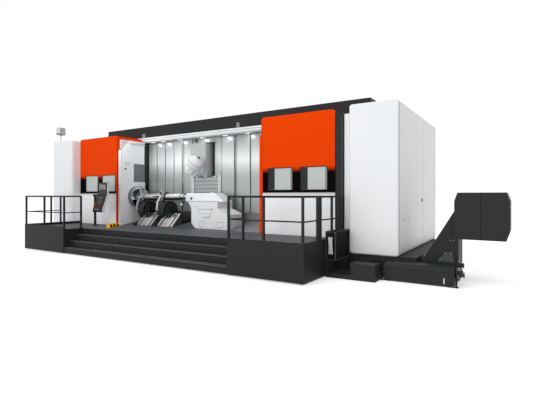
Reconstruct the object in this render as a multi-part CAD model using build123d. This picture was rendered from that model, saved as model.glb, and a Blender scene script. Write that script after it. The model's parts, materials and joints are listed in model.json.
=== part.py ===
from build123d import *
import math
import os

os.makedirs("parts", exist_ok=True)

# Multitasking machining center for long shafts: a slant-floor bed with a work
# area between two sliding doors, an operator deck with steps and railings, a
# travelling column with a swivelling milling head, and a chip conveyor.
# Millimetres. X runs along the work spindle, Y to the back, Z up from the floor.

# Work area
DOOR_MEET_X = -1288.0      # where the two front leaves meet when shut
OPENING_HALF = 3228.0      # from there to each front leaf's leading edge, doors open
DOOR_FACE_Y = -1095.0
WALL_LEAD = 116.0          # white left wall, inside the open left leaf's edge
SPINDLE_Y = -280.0
SPINDLE_Z = 1860.0
SLIDE_GAP = 0.3            # between a slide and its way
MOVE_GAP = 6.0             # between a moving piece and a fixed one

# Operator deck, platforms and steps
DECK_Z = 800.0
PLATE_T = 30.0
STEP_TREAD = 214.0
STEP_COUNT = 4
STEP_FRONT_Y = -3275.0
LEFT_STAIR_INSET = 166.0   # stairs start this far inside the open left leaf's edge
RIGHT_STAIR_INSET = 450.0  # and end this far behind the open right leaf's edge
PLATFORM_CABINET_GAP = 49.0
PLATFORM_END_GAP = 5.0
PLATFORM_FRONT_Y = -3285.0
SKIRT_FOOT_Z = 25.0
TOE_BOARD_H = 90.0
FOOT_W = 50.0
FOOT_INSET = 95.0

# Railings
RAIL_TOP_H = 1100.0        # top rail above the deck
RAIL_MID_H = 550.0
RAIL_TUBE = 50.0
RAIL_MID_TUBE = 30.0
RAIL_BEND_R = 45.0
LEFT_OUTER_POSTS = [940.0, 1310.0]     # behind the front railing
LEFT_INNER_POSTS = [640.0]
RIGHT_INNER_POSTS = [630.0]
RIGHT_OUTER_POSTS = [760.0, 915.0, 1570.0, 2050.0]

# Doors
FRONT_LEAF_W = 2280.0
FRONT_LEAF_T = 60.0
LEAF_SPACING = 15.0        # air between front and rear leaf
REAR_LEAF_T = 40.0
REAR_LEAF_LEAD = 115.0     # rear leaf's edge strip shows beyond the front leaf
REAR_LEAF_STRIP_TOP = 3660.0
DOOR_TOP_Z = 4147.0
DOOR_CORNER_R = 100.0
DOOR_ROOF_T = 60.0
DOOR_ROOF_SPACING = 12.0
WINDOW_Z0 = 2050.0
WINDOW_H = 630.0
WINDOW_GLASS_T = 12.0
WINDOW_POST_W = 240.0      # between the two windows of a leaf
LEFT_WINDOW_MARGINS = [365.0, 75.0]    # left and right of a leaf's pair of windows
RIGHT_WINDOW_MARGINS = [230.0, 210.0]
SHOE_W = 160.0             # guide shoe under each end of a leaf
SHOE_INSET = 10.0

# Bed and rear way
SILL_D = 200.0
FLOOR_RISE = 200.0
FLOOR_BACK_Y = 200.0
LEDGE_Z = 1265.0
LEDGE_BACK_Y = 430.0
WAY_RAIL_H = 57.0          # rail under the way covers
WAY_RAIL_INSET = 10.0
BED_BACK_Y = 3200.0

# Top and rear enclosure
HEADER_Y = 140.0
HEADER_D = 145.0
HEADER_Z = 4000.0
HEADER_H = 200.0
BEAM_Y = 190.0
BEAM_H = 440.0
BEAM_D = 300.0
ROOF_T = 60.0
ENCLOSURE_INSET = 35.0
ENCLOSURE_BACK_Y = 3250.0
WALL_T = 50.0
SEAM_GAP = 0.3
WORK_LAMP_OFFSETS = [400.0, 960.0, 1860.0, 2945.0, 4000.0, 4930.0]  # from the left wall
WORK_LAMP_W = 200.0

# Way covers
COVER_T = 6.0
COVER_LAYER = 14.0         # pitch of the layers from front to back
COVER_COUNT = 3            # moving panels on each side
LEFT_OWN_W = 370.0         # panels that ride on the column itself
RIGHT_OWN_W = 620.0
LEFT_COVER_PITCH = 480.0
RIGHT_COVER_PITCH = 620.0
COLUMN_TRAVEL = 1050.0     # each way from the middle
COVER_OVERLAP = 30.0

# Travelling column and ram
COLUMN_REST = 2270.0       # from the left wall to the column, as it stands
COLUMN_W = 1490.0
COLUMN_FACE_Y = 290.0
FRAME_T = 40.0
FRAME_POST_W = 130.0
FRAME_PLATE_SETBACK = 16.0
COLUMN_Y = 580.0
COLUMN_D = 1720.0
COLUMN_TOP_Z = 3960.0
SLAT_TOP_Z = 2560.0
SLAT_COUNT = 9
RAM_INSET = 225.0          # from the column's left edge
RAM_W = 710.0
RAM_Z0 = 2590.0
RAM_H = 1190.0
RAM_FACE_Y = 100.0
RAM_LENGTH = 1800.0
RAM_SLOT_W = 240.0         # recess right of the ram
RAM_SLOT_D = 300.0
COLUMN_LUG_W = 300.0
COLUMN_LUG_Z = 2000.0
COLUMN_LUG_H = 500.0

# Milling head, as it stands: distances along its spindle from the swivel axis
HEAD_Z = 2835.0
HEAD_Y = -290.0
HEAD_TILT = 45.0           # of the milling spindle from straight down, at rest
HEAD_DISC_R = 235.0
HEAD_NECK_R = 185.0
HEAD_NECK_DOWN = 120.0
HEAD_DRUM_R = 262.0
HEAD_DRUM_FROM = 165.0
HEAD_DRUM_TO = 385.0
HEAD_CAP_R = 135.0
HEAD_CAP_TO = 520.0
HEAD_NOSE_R = 95.0
HEAD_NOSE_DOWN = 195.0
TOOL_HOLDER_R = 50.0
TOOL_HOLDER_H = 55.0
TOOL_R = 17.0
TOOL_H = 225.0

# Work spindle, chuck and shaft
CHUCK_R = 405.0
CHUCK_T = 200.0
CHUCK_CHAMFER = 15.0
JAW_COUNT = 4
JAW_W = 110.0
JAW_H = 190.0
JAW_T = 110.0
HUB_R = 170.0
HUB_T = 225.0
SHAFT_LENGTHS = [560.0, 500.0, 915.0]
SHAFT_RADII = [140.0, 158.0, 128.0]

# Steady rests
REST_OFFSETS = [670.0, 1730.0]         # from the left wall
REST_BODY_W = 260.0
REST_BODY_R = 362.0
REST_BODY_DROP = 525.0     # centre of the black body below the spindle axis
REST_SADDLE_X = 30.0       # saddle's left edge from the body's middle
REST_SADDLE_W = 760.0
REST_SADDLE_FRONT_Y = -885.0
REST_RIDGE_Y = -420.0      # top of the saddle's slanted front
REST_RIDGE_W = 60.0
REST_SADDLE_BACK_Y = 80.0
REST_PLATE_T = 75.0
REST_ARM_W = 90.0
REST_ARM_T = 70.0
REST_ROLLER_R = 38.0
REST_GAP = 3.0             # rollers to the turning shaft
REST_ROLLER_ANGLES = [-125.0, 160.0, 75.0]
REST_SHOULDER = [-330.0, -200.0]       # points of the arm from the spindle axis
REST_ELBOW = [-370.0, -480.0]
REST_ARM_FOOT = [-320.0, -690.0]

# Tailstock
TAIL_GAP = 360.0           # from the shaft's end to the quill housing
TAIL_HOUSING_L = 1360.0
TAIL_HOUSING_SLOPE = 380.0
TAIL_HOUSING_D = 440.0
TAIL_TOP_Z = 1990.0
TAIL_SHELF_Z = 1700.0
TAIL_BODY_LEAD = 600.0     # body's front edge behind the housing's nose
TAIL_BODY_L = 1560.0
TAIL_SHELF_L = 1120.0
TAIL_FRONT_Y = -810.0
TAIL_BACK_Y = -40.0
TAIL_CORBEL_W = 150.0
TAIL_CORBEL_H = 215.0
TAIL_CHAMFER_W = 190.0
TAIL_CHAMFER_Z = 985.0
TAIL_APRON_Z = 1480.0
TAIL_APRON_DROP = 190.0
TAIL_ROUND = 90.0
CENTRE_R = 55.0
CENTRE_COLLAR_R = 100.0
CENTRE_CONE_L = 45.0
CENTRE_COLLAR_L = 90.0

# Left cabinet and signal lamp
CABINET_LEAF_GAP = 9.0
CABINET_W = 1305.0
CABINET_FRONT_Y = -1490.0
CABINET_D = 2400.0
CABINET_TOP_Z = 4110.0
CABINET_ROUND = 120.0
LAMP_INSET = 310.0
LAMP_Y = -1320.0
LAMP_POLE_H = 290.0
LAMP_HEAD_H = 290.0
LAMP_HEAD_W = 250.0

# Right pillar and tool magazine housing
PILLAR_LEAF_GAP = 20.0
PILLAR_W = 200.0
PILLAR_TOP_Z = 4070.0
MAGAZINE_GAP = 260.0
MAGAZINE_W = 1200.0
MAGAZINE_FRONT_Y = -1360.0
MAGAZINE_Z0 = 476.0
MAGAZINE_TOP_Z = 4150.0
MAGAZINE_ROUND = 70.0
MAGAZINE_GROOVE_Y = 75.0   # seam between front cap and side, behind the front
MAGAZINE_GROOVE_W = 25.0
MAGAZINE_GROOVE_D = 12.0
MAGAZINE_EDGE_R = 40.0
NECK_SETBACK = 30.0        # neck's front behind the pillar's
NECK_TOP_Z = 3990.0
NECK_INSET = 200.0         # neck's back inside the housing's
ROOF_OVER_MAGAZINE = 34.0

# Base slab, coolant tank, chip trough and conveyor
SLAB_OVER = 380.0          # beyond the magazine housing
SLAB_Y = -1280.0
TANK_OFFSET = 600.0
TANK_W = 565.0
TANK_Y = -2180.0
TANK_D = 330.0
TANK_H = 375.0
DUCT_T = 50.0
DUCT_BACK_W = 200.0
DUCT_BACK_D = 250.0
DUCT_TOP_Z = 1070.0
STEP_PLATE_H = 100.0
TROUGH_GAP = 85.0
TROUGH_W = 1450.0
TROUGH_Y = -1830.0
TROUGH_H = 330.0
TROUGH_RIDGE = 60.0
TROUGH_FOOT_H = 10.0
CONVEYOR_Y = -1060.0
CONVEYOR_W = 700.0
CONVEYOR_FOOT_Z = 270.0
CONVEYOR_NECK_Z = 1590.0
CONVEYOR_RUN = 780.0       # from the slab's end to the head
CONVEYOR_HEAD_W = 1050.0
CONVEYOR_HEAD_Z0 = 950.0
CONVEYOR_HEAD_Z1 = 1965.0
CONVEYOR_HEAD_Y = -1230.0
CONVEYOR_HEAD_D = 1000.0
CONVEYOR_HEAD_CUT_X = 65.0
CONVEYOR_HEAD_CUT_Z = 190.0

# Control pendant and foot switch
PENDANT_OFFSET = 700.0     # left of the stairs
PENDANT_Y = -1640.0
PENDANT_BOARD_X = 325.0    # board's left edge from the post
PENDANT_W = 535.0
PENDANT_T = 80.0
PENDANT_Z0 = 1310.0
PENDANT_BOARD_H = 640.0
PENDANT_LEAN = 210.0
PENDANT_SCREEN_H = 420.0
PENDANT_POST_R = 45.0
PEDAL_OFFSET = 680.0       # right of the left platform
PEDAL_Y = -1900.0
PEDAL_TURN = 105.0
PEDAL_PITCH = 175.0
PEDAL_W = 110.0
PEDAL_H = 140.0
PEDAL_D = 150.0

# Worked out from the sizes above
LEFT_LEAD_X = DOOR_MEET_X - OPENING_HALF
RIGHT_LEAD_X = DOOR_MEET_X + OPENING_HALF
CABINET_X1 = LEFT_LEAD_X - FRONT_LEAF_W - CABINET_LEAF_GAP
CABINET_X0 = CABINET_X1 - CABINET_W
WORK_LEFT_X = LEFT_LEAD_X + WALL_LEAD
WORK_RIGHT_X = RIGHT_LEAD_X + FRONT_LEAF_W + PILLAR_LEAF_GAP
BED_RIGHT_X = WORK_RIGHT_X + PILLAR_W
ENCLOSURE_LEFT_X = CABINET_X1 + ENCLOSURE_INSET
LEFT_PLATFORM_X0 = CABINET_X1 + PLATFORM_CABINET_GAP
LEFT_PLATFORM_X1 = LEFT_LEAD_X + LEFT_STAIR_INSET
RIGHT_PLATFORM_X0 = RIGHT_LEAD_X + RIGHT_STAIR_INSET
RIGHT_PLATFORM_X1 = BED_RIGHT_X - PLATFORM_END_GAP
MAGAZINE_X0 = BED_RIGHT_X + MAGAZINE_GAP
MAGAZINE_BACK_Y = -PLATFORM_FRONT_Y
ENCLOSURE_RIGHT_X = MAGAZINE_X0 + ROOF_OVER_MAGAZINE
SLAB_X1 = MAGAZINE_X0 + MAGAZINE_W + SLAB_OVER
TANK_X0 = BED_RIGHT_X + TANK_OFFSET
TANK_X1 = TANK_X0 + TANK_W
TROUGH_X0 = TANK_X1 + TROUGH_GAP
TROUGH_D = SLAB_Y - TROUGH_Y
CONVEYOR_HEAD_X0 = SLAB_X1 + CONVEYOR_RUN
PENDANT_X = LEFT_PLATFORM_X1 - PENDANT_OFFSET
PEDAL_X = LEFT_PLATFORM_X1 + PEDAL_OFFSET
DOOR_BOTTOM_Z = DECK_Z + MOVE_GAP
REAR_LEAF_Y = DOOR_FACE_Y + FRONT_LEAF_T + LEAF_SPACING
REAR_LEAF_TOP = DOOR_TOP_Z - DOOR_ROOF_T - DOOR_ROOF_SPACING
HOUSING_Y = REAR_LEAF_Y + REAR_LEAF_T + 10
ROOF_BACK_Y = HEADER_Y - 10
BED_FRONT_Y = DOOR_FACE_Y - 15
SLOPE_Y0 = BED_FRONT_Y + SILL_D
STEP_RISE = DECK_Z / STEP_COUNT
BEAM_Z = HEADER_Z + HEADER_H
BEAM_TOP_Z = BEAM_Z + BEAM_H
WAY_RAIL_Y = COLUMN_FACE_Y - WAY_RAIL_INSET / 2
COVER_FOOT_Z = LEDGE_Z + WAY_RAIL_H + SLIDE_GAP
COLUMN_X0 = WORK_LEFT_X + COLUMN_REST
COLUMN_X1 = COLUMN_X0 + COLUMN_W
RAM_X0 = COLUMN_X0 + RAM_INSET
RAM_X1 = RAM_X0 + RAM_W
RAM_Z1 = RAM_Z0 + RAM_H
HEAD_X = (RAM_X0 + RAM_X1) / 2
CHUCK_X = WORK_LEFT_X + SLIDE_GAP
CHUCK_FACE_X = CHUCK_X + CHUCK_T
SHAFT_X0 = CHUCK_FACE_X + HUB_T
SHAFT_END_X = SHAFT_X0 + sum(SHAFT_LENGTHS)
TAIL_NOSE_X = SHAFT_END_X + TAIL_GAP
TAIL_HOUSING_Y = SPINDLE_Y - TAIL_HOUSING_D / 2
TAIL_BODY_X0 = TAIL_NOSE_X + TAIL_BODY_LEAD


def block(x0, x1, y0, y1, z0, z1):
    """A box between two corners."""
    centre = ((x0 + x1) / 2, (y0 + y1) / 2, (z0 + z1) / 2)
    return Pos(*centre) * Box(x1 - x0, y1 - y0, z1 - z0)


def slab_yz(points, x0, x1):
    """A closed outline in Y and Z carried along X."""
    face = make_face(Polyline(*[(x0, y, z) for y, z in points], close=True))
    return extrude(face, amount=x1 - x0, dir=(1, 0, 0))


def slab_xz(points, y0, y1):
    """A closed outline in X and Z carried along Y."""
    face = make_face(Polyline(*[(x, y0, z) for x, z in points], close=True))
    return extrude(face, amount=y1 - y0, dir=(0, 1, 0))


def rod_x(x0, x1, y, z, radius):
    """A round bar along X."""
    return Pos((x0 + x1) / 2, y, z) * Rot(0, 90, 0) * Cylinder(radius, x1 - x0)


def rod_y(x, y0, y1, z, radius):
    """A round bar along Y."""
    return Pos(x, (y0 + y1) / 2, z) * Rot(90, 0, 0) * Cylinder(radius, y1 - y0)


def rod_z(x, y, z0, z1, radius):
    """An upright round bar."""
    return Pos(x, y, (z0 + z1) / 2) * Cylinder(radius, z1 - z0)


def save(name, shape):
    """Write one sub-part."""
    export_step(shape, "parts/" + name + ".step")


def floor_z(y):
    """Height of the sloping work floor at a depth y."""
    share = (y - SLOPE_Y0) / (FLOOR_BACK_Y - SLOPE_Y0)
    return DECK_Z + FLOOR_RISE * share


# Bed: sill, sloping floor, ledge, rail under the way covers and the column's way
def make_bed():
    rail_top = LEDGE_Z + WAY_RAIL_H
    outline = [
        (BED_FRONT_Y, 0), (BED_FRONT_Y, DECK_Z), (SLOPE_Y0, DECK_Z),
        (FLOOR_BACK_Y, DECK_Z + FLOOR_RISE), (FLOOR_BACK_Y, LEDGE_Z),
        (WAY_RAIL_Y, LEDGE_Z), (WAY_RAIL_Y, rail_top), (LEDGE_BACK_Y, rail_top),
        (LEDGE_BACK_Y, DECK_Z), (BED_BACK_Y, DECK_Z), (BED_BACK_Y, 0),
    ]
    return slab_yz(outline, WORK_LEFT_X, WORK_RIGHT_X)


# Headstock housing behind the left doors, with its base
def make_headstock_housing():
    top = REAR_LEAF_TOP - DOOR_ROOF_T - 10
    upper = block(ENCLOSURE_LEFT_X, WORK_LEFT_X, HOUSING_Y, HEADER_Y, DECK_Z, top)
    base = block(CABINET_X1, WORK_LEFT_X, BED_FRONT_Y, BED_BACK_Y, 0, DECK_Z)
    return upper + base


# Platforms and steps
def foot(x, y, top):
    """A levelling foot drawn as a square leg."""
    half = FOOT_W / 2
    return block(x - half, x + half, y - half, y + half, 0, top)


def make_platform(x0, x1, outer):
    """outer is -1 when the left side has the toe board, 1 for the right side."""
    y0 = PLATFORM_FRONT_Y
    y1 = BED_FRONT_Y
    deck = block(x0, x1, y0, y1, SKIRT_FOOT_Z, DECK_Z)
    hollow = block(x0 + PLATE_T, x1 - PLATE_T, y0 + PLATE_T, y1 - PLATE_T,
                   SKIRT_FOOT_Z - 1, DECK_Z - PLATE_T)
    shell = deck - hollow
    lip_z = DECK_Z + TOE_BOARD_H
    lip_t = PLATE_T / 2
    lip_x = x0 if outer < 0 else x1 - lip_t
    shell += block(x0, x1, y0, y0 + lip_t, DECK_Z, lip_z)
    shell += block(lip_x, lip_x + lip_t, y0, y1, DECK_Z, lip_z)
    for x in (x0 + FOOT_INSET, x1 - FOOT_INSET):
        for y in (y0 + FOOT_INSET, y1 - FOOT_INSET):
            shell += foot(x, y, DECK_Z - PLATE_T)
    return shell


def make_step(index):
    """A folded tread and riser; the last one is the deck up to the door sill."""
    front = STEP_FRONT_Y + index * STEP_TREAD
    top = (index + 1) * STEP_RISE
    back = front + STEP_TREAD if index < STEP_COUNT - 1 else BED_FRONT_Y
    riser_foot = top - STEP_RISE if index else SKIRT_FOOT_Z
    x0 = LEFT_PLATFORM_X1
    x1 = RIGHT_PLATFORM_X0
    tread = block(x0, x1, front, back, top - PLATE_T, top)
    riser_y = front + PLATE_T / 3
    riser = block(x0, x1, riser_y, riser_y + PLATE_T / 2, riser_foot, top)
    step = tread + riser
    if index == 0:
        pitch = (x1 - x0) / 5
        for k in range(1, 5):
            step += foot(x0 + k * pitch, riser_y + FOOT_INSET, top - PLATE_T)
    return step


# Railings: square tube with one knee rail, corners bent
def railing_along_x(x_posts, y):
    top = DECK_Z + RAIL_TOP_H
    half = RAIL_TUBE / 2
    x0 = x_posts[0] - half
    x1 = x_posts[-1] + half
    rail = block(x0, x1, y - half, y + half, top - RAIL_TUBE, top)
    mid = DECK_Z + RAIL_MID_H
    rail += block(x0, x1, y - RAIL_MID_TUBE / 2, y + RAIL_MID_TUBE / 2,
                  mid - RAIL_MID_TUBE, mid)
    for x in x_posts:
        rail += block(x - half, x + half, y - half, y + half, DECK_Z, top)
    ends = rail.edges().filter_by(Axis.Y).group_by(Axis.Z)[-1]
    return fillet(ends, RAIL_BEND_R)


def railing_along_y(x, y_from, offsets):
    """Rails start at y_from, where they meet the front railing's corner post."""
    top = DECK_Z + RAIL_TOP_H
    half = RAIL_TUBE / 2
    y_posts = [PLATFORM_FRONT_Y + offset for offset in offsets]
    y1 = y_posts[-1] + half
    rail = block(x - half, x + half, y_from, y1, top - RAIL_TUBE, top)
    mid = DECK_Z + RAIL_MID_H
    rail += block(x - RAIL_MID_TUBE / 2, x + RAIL_MID_TUBE / 2, y_from, y1,
                  mid - RAIL_MID_TUBE, mid)
    for y in y_posts:
        rail += block(x - half, x + half, y - half, y + half, DECK_Z, top)
    bend = rail.edges().filter_by(Axis.X).group_by(Axis.Z)[-1].sort_by(Axis.Y)[-1]
    return fillet(bend, RAIL_BEND_R)


# Sliding doors: a front leaf with windows that leads, and a plain rear leaf
def make_front_leaf(lead_x, side):
    """side is -1 for the left door, which opens to the left."""
    trail_x = lead_x + side * FRONT_LEAF_W
    x0 = min(lead_x, trail_x)
    x1 = max(lead_x, trail_x)
    back = DOOR_FACE_Y + FRONT_LEAF_T
    panel = block(x0, x1, DOOR_FACE_Y, back, DOOR_BOTTOM_Z, DOOR_TOP_Z)
    corners = panel.edges().filter_by(Axis.Y).group_by(Axis.Z)[-1]
    panel = fillet(corners, DOOR_CORNER_R)
    roof = block(x0 + DOOR_CORNER_R, x1 - DOOR_CORNER_R, back, ROOF_BACK_Y,
                 DOOR_TOP_Z - DOOR_ROOF_T, DOOR_TOP_Z)
    leaf = panel + roof
    for wx0, wx1 in window_spans(x0, side):
        leaf -= block(wx0, wx1, DOOR_FACE_Y, back, WINDOW_Z0, WINDOW_Z0 + WINDOW_H)
    for sx in (x0 + SHOE_W, x1 - SHOE_W):
        leaf += block(sx - SHOE_W / 2, sx + SHOE_W / 2, DOOR_FACE_Y + SHOE_INSET, back - SHOE_INSET,
                      DECK_Z + SLIDE_GAP, DOOR_BOTTOM_Z)
    return leaf


def window_spans(x0, side):
    """Left and right ends of a leaf's two windows, which share what its margins leave."""
    before, after = LEFT_WINDOW_MARGINS if side < 0 else RIGHT_WINDOW_MARGINS
    width = (FRONT_LEAF_W - before - after - WINDOW_POST_W) / 2
    first = x0 + before
    second = first + width + WINDOW_POST_W
    return ((first, first + width), (second, second + width))


def make_windows(lead_x, side):
    trail_x = lead_x + side * FRONT_LEAF_W
    x0 = min(lead_x, trail_x)
    y0 = DOOR_FACE_Y + WINDOW_GLASS_T
    panes = [
        block(wx0, wx1, y0, y0 + WINDOW_GLASS_T, WINDOW_Z0, WINDOW_Z0 + WINDOW_H)
        for wx0, wx1 in window_spans(x0, side)
    ]
    return Compound(children=panes)


def make_rear_leaf(lead_x, side):
    strip_x = lead_x - side * REAR_LEAF_LEAD
    trail_x = lead_x + side * (FRONT_LEAF_W - 20)
    back = REAR_LEAF_Y + REAR_LEAF_T
    x0 = min(lead_x, trail_x)
    x1 = max(lead_x, trail_x)
    panel = block(x0, x1, REAR_LEAF_Y, back, DOOR_BOTTOM_Z, REAR_LEAF_TOP)
    strip = block(min(strip_x, lead_x), max(strip_x, lead_x), REAR_LEAF_Y, back,
                  DOOR_BOTTOM_Z, REAR_LEAF_STRIP_TOP)
    roof = block(x0, x1, back, ROOF_BACK_Y, REAR_LEAF_TOP - DOOR_ROOF_T, REAR_LEAF_TOP)
    leaf = panel + strip + roof
    for sx in (x0 + SHOE_W, x1 - SHOE_W):
        leaf += block(sx - SHOE_W / 2, sx + SHOE_W / 2, REAR_LEAF_Y + SHOE_INSET, back - SHOE_INSET,
                      DECK_Z + SLIDE_GAP, DOOR_BOTTOM_Z)
    return leaf


# Header rail, roof beam and rear enclosure
def make_header_rail():
    y0 = HEADER_Y
    y1 = HEADER_Y + HEADER_D
    outline = [
        (y0, HEADER_Z + 60), (y0, HEADER_Z + 150), (y0 + 20, HEADER_Z + 150),
        (y0 + 20, HEADER_Z + HEADER_H), (y1, HEADER_Z + HEADER_H), (y1, HEADER_Z),
        (y0 + 40, HEADER_Z), (y0 + 40, HEADER_Z + 60),
    ]
    return slab_yz(outline, ENCLOSURE_LEFT_X, WORK_RIGHT_X)


def make_work_lamps():
    y0 = HEADER_Y + 50
    lamps = []
    for offset in WORK_LAMP_OFFSETS:
        x = WORK_LEFT_X + offset
        lamps.append(block(x - WORK_LAMP_W / 2, x + WORK_LAMP_W / 2, y0, y0 + 60,
                           HEADER_Z - 25, HEADER_Z))
    return Compound(children=lamps)


def make_roof():
    beam_back = BEAM_Y + BEAM_D
    outline = [
        (BEAM_Y, BEAM_Z), (BEAM_Y, BEAM_TOP_Z), (ENCLOSURE_BACK_Y, BEAM_TOP_Z),
        (ENCLOSURE_BACK_Y, BEAM_TOP_Z - ROOF_T), (beam_back, BEAM_TOP_Z - ROOF_T),
        (beam_back, BEAM_Z),
    ]
    return slab_yz(outline, ENCLOSURE_LEFT_X, ENCLOSURE_RIGHT_X)


def make_rear_walls():
    top = BEAM_TOP_Z - ROOF_T
    y0 = HEADER_Y + HEADER_D
    y1 = ENCLOSURE_BACK_Y - WALL_T
    beam_back = BEAM_Y + BEAM_D
    back = block(ENCLOSURE_LEFT_X, BED_RIGHT_X + WALL_T, y1, ENCLOSURE_BACK_Y, 0, top)
    side = [
        (HEADER_Y, 0), (HEADER_Y, HEADER_Z), (y0, HEADER_Z), (y0, BEAM_Z),
        (beam_back, BEAM_Z), (beam_back, top), (y1 - SEAM_GAP, top), (y1 - SEAM_GAP, 0),
    ]
    right = slab_yz(side, BED_RIGHT_X, BED_RIGHT_X + WALL_T)
    left_side = [(y, max(z, DECK_Z)) for y, z in side]
    left = slab_yz(left_side, ENCLOSURE_LEFT_X, ENCLOSURE_LEFT_X + WALL_T)
    return Compound(children=[back, left, right])


# Way covers: thin steel panels in layers, each behind the one nearer the column
def cover_panel(x0, x1, layer):
    y0 = COLUMN_FACE_Y + layer * COVER_LAYER
    return block(x0, x1, y0, y0 + COVER_T, COVER_FOOT_Z, HEADER_Z - 10)


def left_cover_edge(index):
    """Outer edge of the panel; index 1 is nearest the column."""
    return COLUMN_X0 - LEFT_OWN_W - index * LEFT_COVER_PITCH


def right_cover_edge(index):
    return COLUMN_X1 + RIGHT_OWN_W + index * RIGHT_COVER_PITCH


def cover_width(pitch):
    """The part in sight, the part drawn out at full travel and an overlap."""
    return pitch + COLUMN_TRAVEL / (COVER_COUNT + 1) + COVER_OVERLAP


def make_left_cover(index):
    x0 = left_cover_edge(index)
    return cover_panel(x0, x0 + cover_width(LEFT_COVER_PITCH), index)


def make_right_cover(index):
    x1 = right_cover_edge(index)
    return cover_panel(x1 - cover_width(RIGHT_COVER_PITCH), x1, index)


def make_end_covers():
    layer = COVER_COUNT + 1
    hidden = cover_width(LEFT_COVER_PITCH) - LEFT_COVER_PITCH
    left = cover_panel(WORK_LEFT_X, left_cover_edge(COVER_COUNT) + hidden, layer)
    right = cover_panel(right_cover_edge(COVER_COUNT) - hidden, WORK_RIGHT_X, layer)
    return Compound(children=[left, right])


# Travelling column: front frame with a slatted cover below the ram
def make_column_frame():
    y0 = COLUMN_FACE_Y
    y1 = y0 + COVER_T
    top = HEADER_Z - 10
    inner_x0 = COLUMN_X0 + FRAME_POST_W
    inner_x1 = COLUMN_X1 - FRAME_POST_W
    left = block(COLUMN_X0 - LEFT_OWN_W, inner_x0, y0, y1, COVER_FOOT_Z, top)
    right = block(inner_x1, COLUMN_X1 + RIGHT_OWN_W, y0, y1, COVER_FOOT_Z, top)
    plate = block(inner_x0, inner_x1, y1 - COVER_T / 2, y1 + COVER_T / 2, SLAT_TOP_Z, top)
    plate -= block(RAM_X0 - MOVE_GAP, RAM_X1 + RAM_SLOT_W, y0, y1 + COVER_T,
                   RAM_Z0 - MOVE_GAP, RAM_Z1 + MOVE_GAP)
    frame = left + right + plate
    for x in (COLUMN_X0, inner_x1):
        frame += block(x, x + FRAME_POST_W, y0 - FRAME_T, y0, COVER_FOOT_Z, top)
    slat_h = (SLAT_TOP_Z - COVER_FOOT_Z) / SLAT_COUNT
    for k in range(SLAT_COUNT):
        z = COVER_FOOT_Z + k * slat_h
        slat_y = y0 - FRAME_T + 2 * COVER_T + (COVER_T / 2) * (k % 2)
        frame += block(inner_x0, inner_x1, slat_y, y1, z, z + slat_h)
    return frame


def make_column():
    back = COLUMN_Y + COLUMN_D
    body = block(COLUMN_X0 + 20, COLUMN_X1 - 20, COLUMN_Y, back,
                 DECK_Z + SLIDE_GAP, COLUMN_TOP_Z)
    body -= block(RAM_X0 - SLIDE_GAP, RAM_X1 + SLIDE_GAP, COLUMN_Y, back,
                  RAM_Z0 - SLIDE_GAP, RAM_Z1 + SLIDE_GAP)
    body -= block(RAM_X1, RAM_X1 + RAM_SLOT_W, COLUMN_Y, COLUMN_Y + RAM_SLOT_D,
                  RAM_Z0 - SLIDE_GAP, RAM_Z1 + SLIDE_GAP)
    lug_y0 = COLUMN_FACE_Y + COVER_T
    lug_x0 = HEAD_X - COLUMN_LUG_W / 2
    body += block(lug_x0, lug_x0 + COLUMN_LUG_W, lug_y0, COLUMN_Y,
                  COLUMN_LUG_Z, COLUMN_LUG_Z + COLUMN_LUG_H)
    return body


def make_ram():
    return block(RAM_X0, RAM_X1, RAM_FACE_Y, RAM_FACE_Y + RAM_LENGTH, RAM_Z0, RAM_Z1)


# Milling head: swivel disc, then a turned profile of nose, neck, drum and cap
def make_milling_head():
    profile = [
        (0, -HEAD_NOSE_DOWN), (HEAD_NOSE_R, -HEAD_NOSE_DOWN), (HEAD_NECK_R, -HEAD_NECK_DOWN),
        (HEAD_NECK_R, HEAD_DRUM_FROM - 50), (HEAD_DRUM_R, HEAD_DRUM_FROM),
        (HEAD_DRUM_R, HEAD_DRUM_TO), (HEAD_CAP_R, HEAD_CAP_TO), (0, HEAD_CAP_TO),
    ]
    outline = Polyline(*[(r, 0, z) for r, z in profile], close=True)
    barrel = revolve(make_face(outline), Axis.Z)
    disc_back = RAM_FACE_Y - HEAD_Y - SLIDE_GAP
    disc = rod_y(0, HEAD_NECK_R / 2, disc_back, 0, HEAD_DISC_R)
    return Pos(HEAD_X, HEAD_Y, HEAD_Z) * Rot(0, HEAD_TILT, 0) * (barrel + disc)


def make_milling_tool():
    z0 = -HEAD_NOSE_DOWN - SLIDE_GAP
    holder = Pos(0, 0, z0 - TOOL_HOLDER_H / 2) * Cylinder(TOOL_HOLDER_R, TOOL_HOLDER_H)
    tool = Pos(0, 0, z0 - TOOL_HOLDER_H - TOOL_H / 2) * Cylinder(TOOL_R, TOOL_H)
    return Pos(HEAD_X, HEAD_Y, HEAD_Z) * Rot(0, HEAD_TILT, 0) * (holder + tool)


# Work spindle: chuck, jaws and the shaft they hold
def make_chuck():
    disc = rod_x(CHUCK_X, CHUCK_FACE_X, SPINDLE_Y, SPINDLE_Z, CHUCK_R)
    rims = disc.edges().filter_by(GeomType.CIRCLE).sort_by(Axis.X)[-1]
    return chamfer(rims, CHUCK_CHAMFER)


def make_chuck_jaws():
    jaws = []
    for k in range(JAW_COUNT):
        jaw = block(CHUCK_FACE_X, CHUCK_FACE_X + JAW_T, -JAW_W / 2, JAW_W / 2,
                    HUB_R + 2, HUB_R + 2 + JAW_H)
        jaw = Rot(360 * (k + 0.5) / JAW_COUNT - 35, 0, 0) * jaw
        jaws.append(Pos(0, SPINDLE_Y, SPINDLE_Z) * jaw)
    return Compound(children=jaws)


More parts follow.
